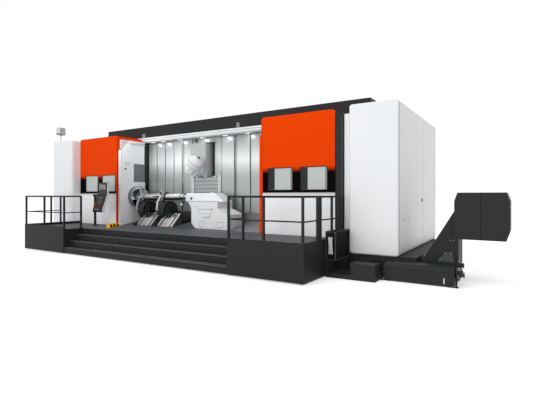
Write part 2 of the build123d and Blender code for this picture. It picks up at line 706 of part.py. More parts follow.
def make_workpiece():
    """A stepped shaft with a flange at the chuck."""
    shaft = rod_x(CHUCK_FACE_X, SHAFT_X0, SPINDLE_Y, SPINDLE_Z, HUB_R)
    x = SHAFT_X0
    for length, radius in zip(SHAFT_LENGTHS, SHAFT_RADII):
        shaft += rod_x(x, x + length, SPINDLE_Y, SPINDLE_Z, radius)
        x += length
    return shaft


# Steady rests: black body on a saddle with a slanted front, bright gripping arms
def make_steady_rest(x):
    x0 = x - REST_BODY_W / 2
    x1 = x + REST_BODY_W / 2
    disc = rod_x(x0, x1, SPINDLE_Y, SPINDLE_Z - REST_BODY_DROP, REST_BODY_R)
    y0 = REST_SADDLE_FRONT_Y
    y1 = REST_SADDLE_BACK_Y
    ridge_z = floor_z(y0) + REST_RIDGE_Y - y0
    ridge_back = REST_RIDGE_Y + REST_RIDGE_W
    plate_z = floor_z(ridge_back) + REST_PLATE_T
    saddle_side = [
        (y0, floor_z(y0) + SLIDE_GAP), (REST_RIDGE_Y, ridge_z), (ridge_back, ridge_z),
        (ridge_back, plate_z), (y1, floor_z(y1) + REST_PLATE_T), (y1, floor_z(y1) + SLIDE_GAP),
    ]
    plate_side = [
        (y0, floor_z(y0) + SLIDE_GAP), (y0, floor_z(y0) + REST_PLATE_T),
        (y1, floor_z(y1) + REST_PLATE_T), (y1, floor_z(y1) + SLIDE_GAP),
    ]
    saddle_x = x + REST_SADDLE_X
    saddle = slab_yz(saddle_side, saddle_x, saddle_x + REST_SADDLE_W)
    plate = slab_yz(plate_side, x0, saddle_x + REST_SADDLE_X)
    return disc + saddle + plate


def arm_link(y0, z0, y1, z1, x0, x1):
    """A flat link of constant thickness between two points of an arm."""
    length = math.hypot(y1 - y0, z1 - z0)
    half_y = -(z1 - z0) / length * REST_ARM_T / 2
    half_z = (y1 - y0) / length * REST_ARM_T / 2
    outline = [(y0 + half_y, z0 + half_z), (y1 + half_y, z1 + half_z),
               (y1 - half_y, z1 - half_z), (y0 - half_y, z0 - half_z)]
    return slab_yz(outline, x0, x1)


def make_steady_arms(x, radius):
    """radius is the shaft's where the rollers bear on it."""
    x1 = x - REST_BODY_W / 2
    x0 = x1 - REST_ARM_W
    reach = radius + REST_GAP + REST_ROLLER_R
    rollers = []
    for angle in REST_ROLLER_ANGLES:
        rollers.append((SPINDLE_Y + reach * math.cos(math.radians(angle)),
                        SPINDLE_Z + reach * math.sin(math.radians(angle))))
    low, front, top = rollers
    shoulder = (SPINDLE_Y + REST_SHOULDER[0], SPINDLE_Z + REST_SHOULDER[1])
    elbow = (SPINDLE_Y + REST_ELBOW[0], SPINDLE_Z + REST_ELBOW[1])
    foot_point = (SPINDLE_Y + REST_ARM_FOOT[0], SPINDLE_Z + REST_ARM_FOOT[1])
    crown = (front[0] - 20, SPINDLE_Z + reach + 25)
    paths = [
        [foot_point, elbow, shoulder, low],
        [shoulder, front, crown, top],
    ]
    arms = None
    for path in paths:
        for (ya, za), (yb, zb) in zip(path[:-1], path[1:]):
            link = arm_link(ya, za, yb, zb, x0, x1)
            arms = link if arms is None else arms + link
    for y, z in rollers + [elbow, shoulder, foot_point]:
        arms += rod_x(x0, x1, y, z, REST_ROLLER_R)
    return arms


# Tailstock: quill housing over a shelved body with a sloping end
def make_tailstock():
    x0 = TAIL_BODY_X0
    shelf_x1 = x0 + TAIL_SHELF_L
    x1 = x0 + TAIL_BODY_L
    side = [
        (x0, TAIL_CHAMFER_Z), (x0, TAIL_SHELF_Z - TAIL_CORBEL_H),
        (x0 - TAIL_CORBEL_W, TAIL_SHELF_Z), (shelf_x1, TAIL_SHELF_Z),
        (shelf_x1, TAIL_APRON_Z), (x1, TAIL_APRON_Z - TAIL_APRON_DROP), (x1, 0),
        (x0 + TAIL_CHAMFER_W, 0), (x0 + TAIL_CHAMFER_W, DECK_Z),
    ]
    body = slab_xz(side, TAIL_FRONT_Y, TAIL_BACK_Y)
    end = [
        (TAIL_FRONT_Y, floor_z(TAIL_FRONT_Y) + SLIDE_GAP), (TAIL_FRONT_Y, TAIL_SHELF_Z),
        (TAIL_BACK_Y, TAIL_SHELF_Z), (TAIL_BACK_Y, floor_z(TAIL_BACK_Y) + SLIDE_GAP),
    ]
    body = body & slab_yz(end, x0 - TAIL_CORBEL_W - 10, x1 + 10)
    nose = TAIL_NOSE_X
    slope_x = nose + TAIL_HOUSING_L
    housing_side = [
        (nose, TAIL_SHELF_Z), (nose, TAIL_TOP_Z), (slope_x, TAIL_TOP_Z),
        (slope_x + TAIL_HOUSING_SLOPE, TAIL_SHELF_Z),
    ]
    y0 = TAIL_HOUSING_Y
    housing = slab_xz(housing_side, y0, y0 + TAIL_HOUSING_D)
    long_edges = housing.edges().filter_by(Axis.X).group_by(Axis.Z)[-1]
    housing = fillet(long_edges, TAIL_ROUND)
    nose_edges = housing.edges().filter_by(Axis.Z).group_by(Axis.X)[0]
    housing = fillet(nose_edges, TAIL_ROUND)
    return body + housing


def make_tail_centre():
    """Blunt cone toward the shaft, collar, and stub at the quill."""
    x0 = SHAFT_END_X + SLIDE_GAP * 10
    cone_x = x0 + CENTRE_CONE_L
    collar_x = cone_x + CENTRE_COLLAR_L
    outline = [
        (x0, 0), (x0, CENTRE_R), (cone_x, CENTRE_COLLAR_R), (collar_x, CENTRE_COLLAR_R),
        (collar_x, CENTRE_R), (TAIL_NOSE_X, CENTRE_R), (TAIL_NOSE_X, 0),
    ]
    face = make_face(Polyline(*[(x, r, 0) for x, r in outline], close=True))
    return Pos(0, SPINDLE_Y, SPINDLE_Z) * revolve(face, Axis.X)


# Left cabinet and lamp
def make_left_cabinet():
    body = block(CABINET_X0, CABINET_X1, CABINET_FRONT_Y,
                 CABINET_FRONT_Y + CABINET_D, 0, CABINET_TOP_Z)
    uprights = body.edges().filter_by(Axis.Z).group_by(Axis.Y)[0]
    body = fillet(uprights, CABINET_ROUND)
    return fillet(body.edges().group_by(Axis.Z)[-1], CABINET_ROUND / 2)


def make_signal_lamp():
    x = CABINET_X0 + LAMP_INSET
    z = CABINET_TOP_Z
    half = LAMP_HEAD_W / 2
    pole = rod_z(x, LAMP_Y, z, z + LAMP_POLE_H, 20)
    head = block(x - half, x + half, LAMP_Y - half, LAMP_Y + half,
                 z + LAMP_POLE_H, z + LAMP_POLE_H + LAMP_HEAD_H)
    return pole + head


# Right pillar and tool magazine housing
def make_right_pillar():
    x0 = WORK_RIGHT_X
    pillar = block(x0, x0 + PILLAR_W, BED_FRONT_Y, HEADER_Y, 0, PILLAR_TOP_Z)
    edge = pillar.edges().filter_by(Axis.Y).group_by(Axis.Z)[-1].sort_by(Axis.X)[-1]
    return fillet(edge, DOOR_CORNER_R)


def make_magazine_housing():
    x1 = MAGAZINE_X0 + MAGAZINE_W
    body = block(MAGAZINE_X0, x1, MAGAZINE_FRONT_Y, MAGAZINE_BACK_Y,
                 MAGAZINE_Z0, MAGAZINE_TOP_Z)
    body = fillet(body.edges().filter_by(Axis.Y), MAGAZINE_ROUND)
    body = fillet(body.edges().group_by(Axis.Y)[0], MAGAZINE_EDGE_R)
    groove_y = MAGAZINE_FRONT_Y + MAGAZINE_GROOVE_Y
    body -= block(x1 - MAGAZINE_GROOVE_D, x1, groove_y, groove_y + MAGAZINE_GROOVE_W,
                  MAGAZINE_Z0, MAGAZINE_TOP_Z)
    neck_x1 = MAGAZINE_X0 + MAGAZINE_ROUND
    neck_y = BED_FRONT_Y + NECK_SETBACK
    wall_y = HEADER_Y - SEAM_GAP
    front = block(BED_RIGHT_X + SEAM_GAP, neck_x1, neck_y, wall_y, MAGAZINE_Z0, NECK_TOP_Z)
    corner = front.edges().filter_by(Axis.Z).group_by(Axis.Y)[0].sort_by(Axis.X)[0]
    front = fillet(corner, MAGAZINE_ROUND)
    rear = block(BED_RIGHT_X + WALL_T, neck_x1, wall_y, MAGAZINE_BACK_Y - NECK_INSET,
                 MAGAZINE_Z0, NECK_TOP_Z)
    return body + front + rear


# Base slab, tank, trough and conveyor
def make_base_slab():
    return block(BED_RIGHT_X + WALL_T, SLAB_X1, SLAB_Y, MAGAZINE_BACK_Y, 0, MAGAZINE_Z0)


def make_coolant_tank():
    tank = block(TANK_X0, TANK_X1, TANK_Y, TANK_Y + TANK_D, 0, TANK_H)
    step_plate = block(RIGHT_PLATFORM_X1, TANK_X1, TANK_Y, SLAB_Y, 0, STEP_PLATE_H)
    return tank + step_plate


def make_chip_trough():
    y0 = TROUGH_Y
    y1 = SLAB_Y
    top = TROUGH_H + TROUGH_RIDGE
    outline = [(y0, TROUGH_FOOT_H), (y0, TROUGH_H), (y0 + 120, top), (y1, top),
               (y1, TROUGH_FOOT_H)]
    x1 = TROUGH_X0 + TROUGH_W
    trough = slab_yz(outline, TROUGH_X0, x1)
    for x in (TROUGH_X0 + FOOT_INSET, x1 - FOOT_INSET):
        trough += block(x - FOOT_W, x + FOOT_W, y0 + 20, y1 - 20, 0, TROUGH_FOOT_H)
    return trough


def make_conveyor():
    y0 = CONVEYOR_Y
    x0 = CONVEYOR_HEAD_X0
    x1 = x0 + CONVEYOR_HEAD_W
    neck_x = x0 + CONVEYOR_HEAD_CUT_X
    side = [
        (SLAB_X1, 0), (SLAB_X1, CONVEYOR_FOOT_Z), (x0, CONVEYOR_NECK_Z),
        (neck_x, CONVEYOR_NECK_Z), (neck_x, 0),
    ]
    incline = slab_xz(side, y0, y0 + CONVEYOR_W)
    z0 = CONVEYOR_HEAD_Z0
    z1 = CONVEYOR_HEAD_Z1
    cut_x = CONVEYOR_HEAD_CUT_X
    cut_z = CONVEYOR_HEAD_CUT_Z
    head_side = [
        (x0, z0), (x0, z1 - cut_z), (x0 + cut_x, z1), (x1 - cut_x, z1),
        (x1, z1 - cut_z), (x1, z0 + cut_z), (x1 - cut_x, z0),
    ]
    head = slab_xz(head_side, CONVEYOR_HEAD_Y, CONVEYOR_HEAD_Y + CONVEYOR_HEAD_D)
    return incline + head


def make_service_duct():
    x0 = RIGHT_PLATFORM_X1
    x1 = x0 + DUCT_T
    duct = block(x0, x1, TANK_Y, SLAB_Y, STEP_PLATE_H, DUCT_TOP_Z)
    duct += block(x1, x1 + DUCT_BACK_W, SLAB_Y - DUCT_BACK_D, SLAB_Y,
                  STEP_PLATE_H, DUCT_TOP_Z)
    return duct


# Control pendant and foot switch
def make_pendant_post():
    base = rod_z(PENDANT_X, PENDANT_Y, DECK_Z, DECK_Z + 20, 2 * PENDANT_POST_R)
    return base + rod_z(PENDANT_X, PENDANT_Y, DECK_Z, PENDANT_Z0, PENDANT_POST_R)


def make_control_pendant():
    """A leaning keyboard below an upright screen, on an arm from the post."""
    z0 = PENDANT_Z0 + SLIDE_GAP
    knee = z0 + PENDANT_BOARD_H
    top = knee + PENDANT_SCREEN_H
    y0 = PENDANT_Y - PENDANT_POST_R - PENDANT_T
    lean_y = y0 - PENDANT_LEAN
    outline = [
        (lean_y, z0 + 60), (y0, knee), (y0, top), (y0 + PENDANT_T, top),
        (y0 + PENDANT_T, knee - 60), (lean_y + PENDANT_T, z0), (lean_y + 30, z0),
    ]
    x0 = PENDANT_X + PENDANT_BOARD_X
    shell = slab_yz(outline, x0, x0 + PENDANT_W)
    neck = rod_z(PENDANT_X, PENDANT_Y, z0, knee, PENDANT_POST_R)
    arm = block(PENDANT_X, x0 + PENDANT_W / 2, y0 + PENDANT_T / 2, PENDANT_Y,
                knee - 2 * PENDANT_POST_R, knee)
    return shell + neck + arm


def make_foot_switch():
    """Three hooded pedals on one plate, square to the stairs."""
    half = 1.5 * PEDAL_PITCH
    plate = block(-half, half, -PEDAL_D / 2, PEDAL_D / 2, DECK_Z, DECK_Z + 20)
    for k in (-1, 0, 1):
        x0 = k * PEDAL_PITCH - PEDAL_W / 2
        outline = [(-PEDAL_D / 2, DECK_Z), (-PEDAL_D / 2 + 60, DECK_Z + PEDAL_H),
                   (PEDAL_D / 2, DECK_Z + PEDAL_H), (PEDAL_D / 2, DECK_Z)]
        plate += slab_yz(outline, x0, x0 + PEDAL_W)
    return Pos(PEDAL_X, PEDAL_Y, 0) * Rot(0, 0, PEDAL_TURN) * plate


save("bed", make_bed())
save("headstock_housing", make_headstock_housing())
save("left_platform", make_platform(LEFT_PLATFORM_X0, LEFT_PLATFORM_X1, -1))
save("right_platform", make_platform(RIGHT_PLATFORM_X0, RIGHT_PLATFORM_X1, 1))
for k in range(STEP_COUNT - 1):
    save("step_" + str(k + 1), make_step(k))
save("front_deck", make_step(STEP_COUNT - 1))

inset = RAIL_TUBE / 2
left_x0 = LEFT_PLATFORM_X0 + inset + PLATE_T / 2
left_x1 = LEFT_PLATFORM_X1 - inset
right_x0 = RIGHT_PLATFORM_X0 + inset
right_x1 = RIGHT_PLATFORM_X1 - inset - PLATE_T / 2
rail_y = PLATFORM_FRONT_Y + inset + PLATE_T / 2
corner_y = rail_y + inset
save("left_railing_front", railing_along_x([left_x0, (left_x0 + left_x1) / 2, left_x1], rail_y))
save("left_railing_outer", railing_along_y(left_x0, corner_y, LEFT_OUTER_POSTS))
save("left_railing_inner", railing_along_y(left_x1, corner_y, LEFT_INNER_POSTS))
save("right_railing_front", railing_along_x([right_x0, (right_x0 + right_x1) / 2, right_x1], rail_y))
save("right_railing_inner", railing_along_y(right_x0, corner_y, RIGHT_INNER_POSTS))
save("right_railing_outer", railing_along_y(right_x1, corner_y, RIGHT_OUTER_POSTS))

save("left_front_leaf", make_front_leaf(LEFT_LEAD_X, -1))
save("left_rear_leaf", make_rear_leaf(LEFT_LEAD_X, -1))
save("left_door_windows", make_windows(LEFT_LEAD_X, -1))
save("right_front_leaf", make_front_leaf(RIGHT_LEAD_X, 1))
save("right_rear_leaf", make_rear_leaf(RIGHT_LEAD_X, 1))
save("right_door_windows", make_windows(RIGHT_LEAD_X, 1))

save("header_rail", make_header_rail())
save("work_lamps", make_work_lamps())
save("roof", make_roof())
save("rear_walls", make_rear_walls())
for k in range(1, COVER_COUNT + 1):
    save("left_cover_" + str(k), make_left_cover(k))
    save("right_cover_" + str(k), make_right_cover(k))
save("end_covers", make_end_covers())
save("column_frame", make_column_frame())
save("column", make_column())
save("ram", make_ram())
save("milling_head", make_milling_head())
save("milling_tool", make_milling_tool())

save("chuck", make_chuck())
save("chuck_jaws", make_chuck_jaws())
save("workpiece_shaft", make_workpiece())
rest_radii = [SHAFT_RADII[0], SHAFT_RADII[2]]
for k, offset in enumerate(REST_OFFSETS):
    rest_x = WORK_LEFT_X + offset
    save("steady_rest_" + str(k + 1), make_steady_rest(rest_x))
    save("steady_arms_" + str(k + 1), make_steady_arms(rest_x, rest_radii[k]))
save("tailstock", make_tailstock())
save("tail_centre", make_tail_centre())

save("left_cabinet", make_left_cabinet())
save("signal_lamp", make_signal_lamp())
save("right_pillar", make_right_pillar())
save("magazine_housing", make_magazine_housing())
save("base_slab", make_base_slab())
save("coolant_tank", make_coolant_tank())
save("chip_trough", make_chip_trough())
save("conveyor", make_conveyor())
save("service_duct", make_service_duct())
save("pendant_post", make_pendant_post())
save("control_pendant", make_control_pendant())
save("foot_switch", make_foot_switch())
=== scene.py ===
# %% [markdown]
# # A multitasking machining center for long shafts
# The machine stands on a workshop floor: an operator deck with steps in front, two
# orange sliding doors, a work area with a chuck, a shaft in two steady rests and a
# tailstock, and a travelling column that carries the milling head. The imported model
# gives the frame, and every cell below dresses one part of it.

# %% Load the frame
import json
import math

import bmesh
import bpy
import numpy as np
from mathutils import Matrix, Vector


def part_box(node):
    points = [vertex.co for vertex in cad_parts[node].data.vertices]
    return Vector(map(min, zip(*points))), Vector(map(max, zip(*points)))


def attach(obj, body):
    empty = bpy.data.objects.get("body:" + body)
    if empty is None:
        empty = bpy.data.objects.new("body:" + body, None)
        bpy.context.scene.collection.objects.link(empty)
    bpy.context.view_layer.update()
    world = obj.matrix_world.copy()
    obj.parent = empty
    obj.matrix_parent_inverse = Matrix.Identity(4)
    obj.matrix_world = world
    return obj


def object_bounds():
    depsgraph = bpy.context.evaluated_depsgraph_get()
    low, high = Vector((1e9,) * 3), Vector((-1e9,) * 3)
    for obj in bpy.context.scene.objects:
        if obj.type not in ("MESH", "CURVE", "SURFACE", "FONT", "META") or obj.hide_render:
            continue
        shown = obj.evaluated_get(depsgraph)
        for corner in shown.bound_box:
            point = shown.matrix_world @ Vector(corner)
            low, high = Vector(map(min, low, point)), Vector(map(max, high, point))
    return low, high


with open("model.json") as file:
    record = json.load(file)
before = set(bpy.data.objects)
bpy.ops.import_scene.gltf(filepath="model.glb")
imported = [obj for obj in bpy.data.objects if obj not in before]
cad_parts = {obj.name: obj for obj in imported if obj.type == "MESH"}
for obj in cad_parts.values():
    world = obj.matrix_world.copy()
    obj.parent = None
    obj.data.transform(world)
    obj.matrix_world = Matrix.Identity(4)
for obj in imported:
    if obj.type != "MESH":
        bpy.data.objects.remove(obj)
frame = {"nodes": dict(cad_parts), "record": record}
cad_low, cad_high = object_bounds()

nodes = frame["nodes"]
print("nodes", len(nodes), "box", [round(v, 3) for v in (*cad_low, *cad_high)])

# %% [markdown]
# The camera stands where the photographer stood: eye height 1.90 m, level, turned
# 32.4 degrees to the left of the machine's depth axis. Two vanishing points gave the
# lens, and the horizon gives the small vertical shift.

# %% Camera
EYE = (8.35, -10.91, 1.90)
TURN = 32.416
LENS_MM = 27.39
SENSOR_MM = 36.0
FRAME_W = 533
FRAME_H = 400
HORIZON_ROW = 195.6


def make_camera():
    """A level camera, so its only tilt is the quarter turn that points it ahead."""
    data = bpy.data.cameras.new("photo_camera")
    data.lens = LENS_MM
    data.sensor_width = SENSOR_MM
    data.shift_y = (HORIZON_ROW - FRAME_H / 2) / FRAME_W
    data.clip_end = 300.0
    camera = bpy.data.objects.new("photo_camera", data)
    camera.location = EYE
    camera.rotation_euler = (math.radians(90), 0, math.radians(TURN))
    bpy.context.scene.collection.objects.link(camera)
    bpy.context.scene.camera = camera
    return camera


camera = make_camera()
bpy.context.scene.view_settings.view_transform = "Standard"
print("camera shift", round(camera.data.shift_y, 5))

# %% [markdown]
# A node-based material is built from small steps. One function adds any node with its
# settings and links, so each finish reads as a short recipe. Colours are written as
# sRGB hex values, as one reads them off a paint card, and turned to linear light once.

# %% Material helpers


def linear(hex_code):
    """An sRGB hex colour as linear light: each channel follows the sRGB curve."""
    srgb = np.array([int(hex_code[i:i + 2], 16) for i in (0, 2, 4)]) / 255.0
    low = srgb / 12.92
    high = ((srgb + 0.055) / 1.055) ** 2.4
    return (*np.where(srgb <= 0.04045, low, high).tolist(), 1.0)


def feed(taker, key, source):
    """Links a node's first output, or one socket, to an input of another node."""
    socket = source.outputs[0] if isinstance(source, bpy.types.Node) else source
    taker.id_data.links.new(socket, taker.inputs[key])


def add_node(tree, kind, settings=None):
    """Adds one shader node; kind is its type. A key is a property's name, or an input's
    name or number, and a value that is a node or a socket feeds that input."""
    made = tree.nodes.new("ShaderNode" + kind)
    for key, value in (settings or {}).items():
        if isinstance(value, (bpy.types.Node, bpy.types.NodeSocket)):
            feed(made, key, value)
        elif isinstance(key, int) or key in made.inputs:
            made.inputs[key].default_value = value
        else:
            setattr(made, key, value)
    return made


def new_material(name, **values):
    """A Principled material; values are its sockets, with spaces written as underscores."""
    made = bpy.data.materials.new(name)
    made.use_nodes = True
    shader = made.node_tree.nodes["Principled BSDF"]
    for key, value in values.items():
        shader.inputs[key.replace("_", " ")].default_value = value
    return made, made.node_tree, shader


def tinted(tree, colour, factor):
    """A flat colour times a grey factor, for slow drifts of tone."""
    return add_node(tree, "VectorMath", {"operation": "SCALE", 0: linear(colour)[:3], "Scale": factor})


def roughened(tree, shader, height, strength, distance=0.001):
    """Bump from a height pattern, in metres of relief at full strength."""
    bump = add_node(tree, "Bump", {"Strength": strength, "Distance": distance, "Height": height})
    feed(shader, "Normal", bump)


# %% [markdown]
# The studio is plain: a pale floor that keeps the machine's shadow, and surroundings
# that the camera, reflections and glass see as white. Light Path tells these rays from
# the ones that only gather light, which get a lower level, so that pale paint doesn't
# clip. The far floor gets the missing light back for the same rays.

# %% Studio
FLOOR_HALF = 140.0
FLOOR_DROP = 0.002
WORLD_LEVEL = 0.785
FLOOR_LIFT = 0.40


def seen_rays(tree):
    """One for camera, glossy and transmission rays, zero for all others."""
    ray = add_node(tree, "LightPath").outputs
    first = add_node(tree, "Math", {"operation": "MAXIMUM", 0: ray["Is Camera Ray"],
                                    1: ray["Is Glossy Ray"]})
    return add_node(tree, "Math", {"operation": "MAXIMUM", 0: first, 1: ray["Is Transmission Ray"]})


def make_floor():
    """A large square just under the machine; seen rays get FLOOR_LIFT of added light."""
    low = cad_low.z - FLOOR_DROP
    corners = np.array([[-1, -1], [1, -1], [1, 1], [-1, 1]]) * FLOOR_HALF
    mesh = bpy.data.meshes.new("studio_floor")
    mesh.from_pydata([(*xy, low) for xy in corners.tolist()], [], [(0, 1, 2, 3)])
    made = bpy.data.objects.new("studio_floor", mesh)
    bpy.context.scene.collection.objects.link(made)
    paint, tree, shader = new_material("floor_paint", Base_Color=linear("F4F5F6"),
                                       Roughness=0.95, Specular_IOR_Level=0.0,
                                       Emission_Color=linear("FFFFFF"))
    lift = add_node(tree, "Math", {"operation": "MULTIPLY", 0: seen_rays(tree), 1: FLOOR_LIFT})
    feed(shader, "Emission Strength", lift)
    mesh.materials.append(paint)


def make_world():
    """White for seen rays, WORLD_LEVEL for the rays that gather light."""
    world = bpy.data.worlds.new("studio")
    world.use_nodes = True
    bpy.context.scene.world = world
    tree = world.node_tree
    back = tree.nodes["Background"]
    back.inputs["Color"].default_value = (1, 1, 1, 1)
    level = add_node(tree, "MapRange", {"Value": seen_rays(tree), "To Min": WORLD_LEVEL, "To Max": 1.0})
    feed(back, "Strength", level)


make_floor()
make_world()
print("studio floor at z", round(cad_low.z - FLOOR_DROP, 4))

# %% [markdown]
# Three soft boxes give the front a little more light than the right side, as on the
# photograph, and the low one reaches the white skirts above the dark deck. A light bar
# on the wall behind the chuck lights the first way covers. Under the header rail hang
# six small lamps. Each throws a pool of light on the way covers, so each gets a small
# light of its own.

# %% Soft boxes and lamp light


def area_light(name, spot, aim, size, watts):
    """A square soft box that looks from its spot to its aim."""
    data = bpy.data.lights.new(name, "AREA")
    data.size = size
    data.energy = watts
    made = bpy.data.objects.new(name, data)
    made.location = spot
    made.rotation_euler = (Vector(aim) - Vector(spot)).to_track_quat("-Z", "Y").to_euler()
    bpy.context.scene.collection.objects.link(made)


area_light("front_softbox", (-2.0, -20.0, 9.0), (0, 0, 2), 12.0, 260)
area_light("low_softbox", (1.0, -17.0, 2.0), (-1, -1, 1.6), 5.0, 540)
area_light("top_softbox", (0.0, -4.0, 16.0), (0, 0, 0), 14.0, 500)
area_light("wall_bar_light", (-3.9, -0.9, 3.80), (-3.7, 0.3, 2.6), 1.2, 4.0)
LAMP_X = [-4.0, -3.44, -2.54, -1.455, -0.4, 0.53]
for number, x in enumerate(LAMP_X):
    area_light(f"work_light_{number + 1}", (x, 0.10, 3.93), (x, 0.29, 3.3), 0.12, 0.8)
print("soft boxes 4, work lights", len(LAMP_X))

# %% [markdown]
# Sheet-metal housings are sprayed with enamel. The coat is never quite flat: a faint
# orange peel shows in its highlights, drawn here a few millimetres wide so that it
# shows at all, and its colour drifts a little over metres. Both come from noise in
# object coordinates. A low specular level keeps dark paint dark in a white room.

# %% Enamel paints
DRIFT = 0.02


def enamel(name, colour, roughness=0.38, peel_mm=4.0, peel=0.02, gloss=0.25):
    """Painted sheet: colour times a slow drift, with fine bump for the sprayed coat."""
    made, tree, shader = new_material(name, Roughness=roughness, Specular_IOR_Level=gloss)
    place = add_node(tree, "TexCoord").outputs["Object"]
    slow = add_node(tree, "TexNoise", {"Vector": place, "Scale": 0.6, "Detail": 3.0})
    shade = add_node(tree, "MapRange", {"Value": slow, "To Min": 1 - DRIFT, "To Max": 1 + DRIFT})
    feed(shader, "Base Color", tinted(tree, colour, shade))
    fine = add_node(tree, "TexNoise", {"Vector": place, "Scale": 1000 / peel_mm, "Detail": 2.0})
    roughened(tree, shader, fine, peel)
    return made


ORANGE = "E84202"
white_enamel = enamel("white_enamel", "E8EAEC")
light_grey_enamel = enamel("light_grey_enamel", "D2D5D7")
orange_enamel = enamel("orange_enamel", ORANGE, roughness=0.42, gloss=0.02)
charcoal_enamel = enamel("charcoal_enamel", "2B2D2E", roughness=0.5, peel=0.05, gloss=0.12)
graphite_enamel = enamel("graphite_enamel", "4C5051", roughness=0.5, peel=0.05, gloss=0.12)
black_casting = enamel("blackened_casting", "151617", roughness=0.4, peel=0.15, peel_mm=7, gloss=0.3)
yellow_enamel = enamel("yellow_enamel", "F0B800", roughness=0.35)
black_plastic = enamel("black_moulded_plastic", "17181A", roughness=0.4, peel=0.08, gloss=0.2)
grey_plastic = enamel("grey_moulded_plastic", "85898B", roughness=0.4, peel=0.08)
brown_keys = enamel("brown_rubber_keys", "54301F", roughness=0.5, peel=0.05, gloss=0.2)
pale_skin_plastic = enamel("pale_screen_colours", "C9A58C", roughness=0.3, peel=0.0)
shaded_lens_grey = enamel("side_lens_painted_shade", "A4A9AA", roughness=0.2, peel=0.0)
pale_hose = enamel("pale_corrugated_hose", "D8DAD9", roughness=0.5, peel=0.0)
black_rubber = enamel("black_sealing_rubber", "101112", roughness=0.7, peel=0.1, gloss=0.1)
print("enamels ready")

# %% [markdown]
# Decks and treads are folded checker plate, sprayed dark grey. Real plate has raised
# bars about 30 mm apart that turn by 90 degrees from one to the next. Two crossed waves
# in object coordinates give that rhythm, drawn 60 mm apart so that it shows. Only faces
# that look up get it, so the skirts stay plain. Faces that look up are also painted
# paler, as painted light from above.

# %% Checker plate
CHECKER_MM = 60.0
WAVE_RADIANS = 20
FACES_UP = 0.9


def checker_plate(name, colour, top_light_lift=3.2, bar_lift=3.2):
    """Up-facing sides are painted paler by top_light_lift, as light from above, and carry
    crossed waves CHECKER_MM apart as bump and as a tone that is paler by bar_lift on
    the bars. At scale 1 the texture's wave turns by WAVE_RADIANS in a metre."""
    made, tree, shader = new_material(name, Roughness=0.5, Specular_IOR_Level=0.15)
    where = add_node(tree, "TexCoord").outputs
    turned_place = add_node(tree, "Mapping", {"Vector": where["Object"],
                                              "Rotation": (0, 0, math.radians(45))})
    waves = [add_node(tree, "TexWave", {"Vector": turned_place, "bands_direction": direction,
                                        "Scale": 2 * math.pi * 1000 / CHECKER_MM / WAVE_RADIANS})
             for direction in ("X", "Y")]
    bars = add_node(tree, "Math", {"operation": "MULTIPLY", 0: waves[0].outputs["Fac"],
                                   1: waves[1].outputs["Fac"]})
    facing = add_node(tree, "SeparateXYZ", {"Vector": where["Normal"]})
    up = add_node(tree, "Math", {"operation": "GREATER_THAN", 0: facing.outputs["Z"], 1: FACES_UP})
    pattern = add_node(tree, "Math", {"operation": "MULTIPLY", 0: bars, 1: up})
    # Painted light: faces that look up are paler, as if lit from above.
    lit_top = add_node(tree, "Math", {"operation": "MULTIPLY_ADD", 0: up, 1: top_light_lift, 2: 1.0})
    tone = add_node(tree, "Math", {"operation": "MULTIPLY_ADD", 0: pattern, 1: bar_lift, 2: lit_top})
    feed(shader, "Base Color", tinted(tree, colour, tone))
    roughened(tree, shader, pattern, 0.6, 0.004)
    return made


dark_grey_plate = checker_plate("dark_grey_checker_plate", "202224")
# Nosings are paler with wear, and their tops also carry the painted light from above.
nosing_plate = checker_plate("worn_nosing_plate", "35383A", 1.6, 5.0)

# %% [markdown]
# The door leaves carry bands of colour. Orange enamel covers the top and the narrow
# edges, it fades to black just above the windows, the window band is black, and the
# lower half is white, greyed at its top by painted shade just under the black band.
# The bands depend only on height and on which way a face looks, so they are read from
# the object's Z and from its normal.

# %% Door enamel
BAND_WHITE_TOP = 1.985
BAND_SHADE_LOW = 1.90
BAND_FADE_START = 2.52
BAND_FADE_END = 2.72
FACES_SIDEWAYS = 0.6


def door_enamel():
    """Height picks the paint: white with painted shade at its top, then black, then a fade into orange."""
    made, tree, shader = new_material("door_enamel", Roughness=0.42, Specular_IOR_Level=0.02)
    where = add_node(tree, "TexCoord").outputs
    height = add_node(tree, "SeparateXYZ", {"Vector": where["Object"]}).outputs["Z"]
    facing = add_node(tree, "SeparateXYZ", {"Vector": where["Normal"]})
    fade = add_node(tree, "MapRange", {"Value": height, "From Min": BAND_FADE_START,
                                       "From Max": BAND_FADE_END, "interpolation_type": "SMOOTHSTEP"})
    top = add_node(tree, "Mix", {"data_type": "RGBA", 0: fade, 6: linear("060203"), 7: linear(ORANGE)})
    is_low = add_node(tree, "Math", {"operation": "LESS_THAN", 0: height, 1: BAND_WHITE_TOP})
    # Painted shade: the white greys toward its top, under the black band.
    lip = add_node(tree, "MapRange", {"Value": height, "From Min": BAND_SHADE_LOW,
                                      "From Max": BAND_WHITE_TOP})
    white = add_node(tree, "Mix", {"data_type": "RGBA", 0: lip, 6: linear("F6F7F8"),
                                   7: linear("BBB7B3")})
    front = add_node(tree, "Mix", {"data_type": "RGBA", 0: is_low, 6: top.outputs[2],
                                   7: white.outputs[2]})
    sideways = add_node(tree, "Math", {"operation": "ABSOLUTE", 0: facing.outputs["X"]})
    is_edge = add_node(tree, "Math", {"operation": "GREATER_THAN", 0: sideways, 1: FACES_SIDEWAYS})
    paint = add_node(tree, "Mix", {"data_type": "RGBA", 0: is_edge, 6: front.outputs[2],
                                   7: linear(ORANGE)})
    feed(shader, "Base Color", paint.outputs[2])
    return made


door_paint = door_enamel()
print("door bands: white to", BAND_WHITE_TOP, "m, orange from", BAND_FADE_END, "m")
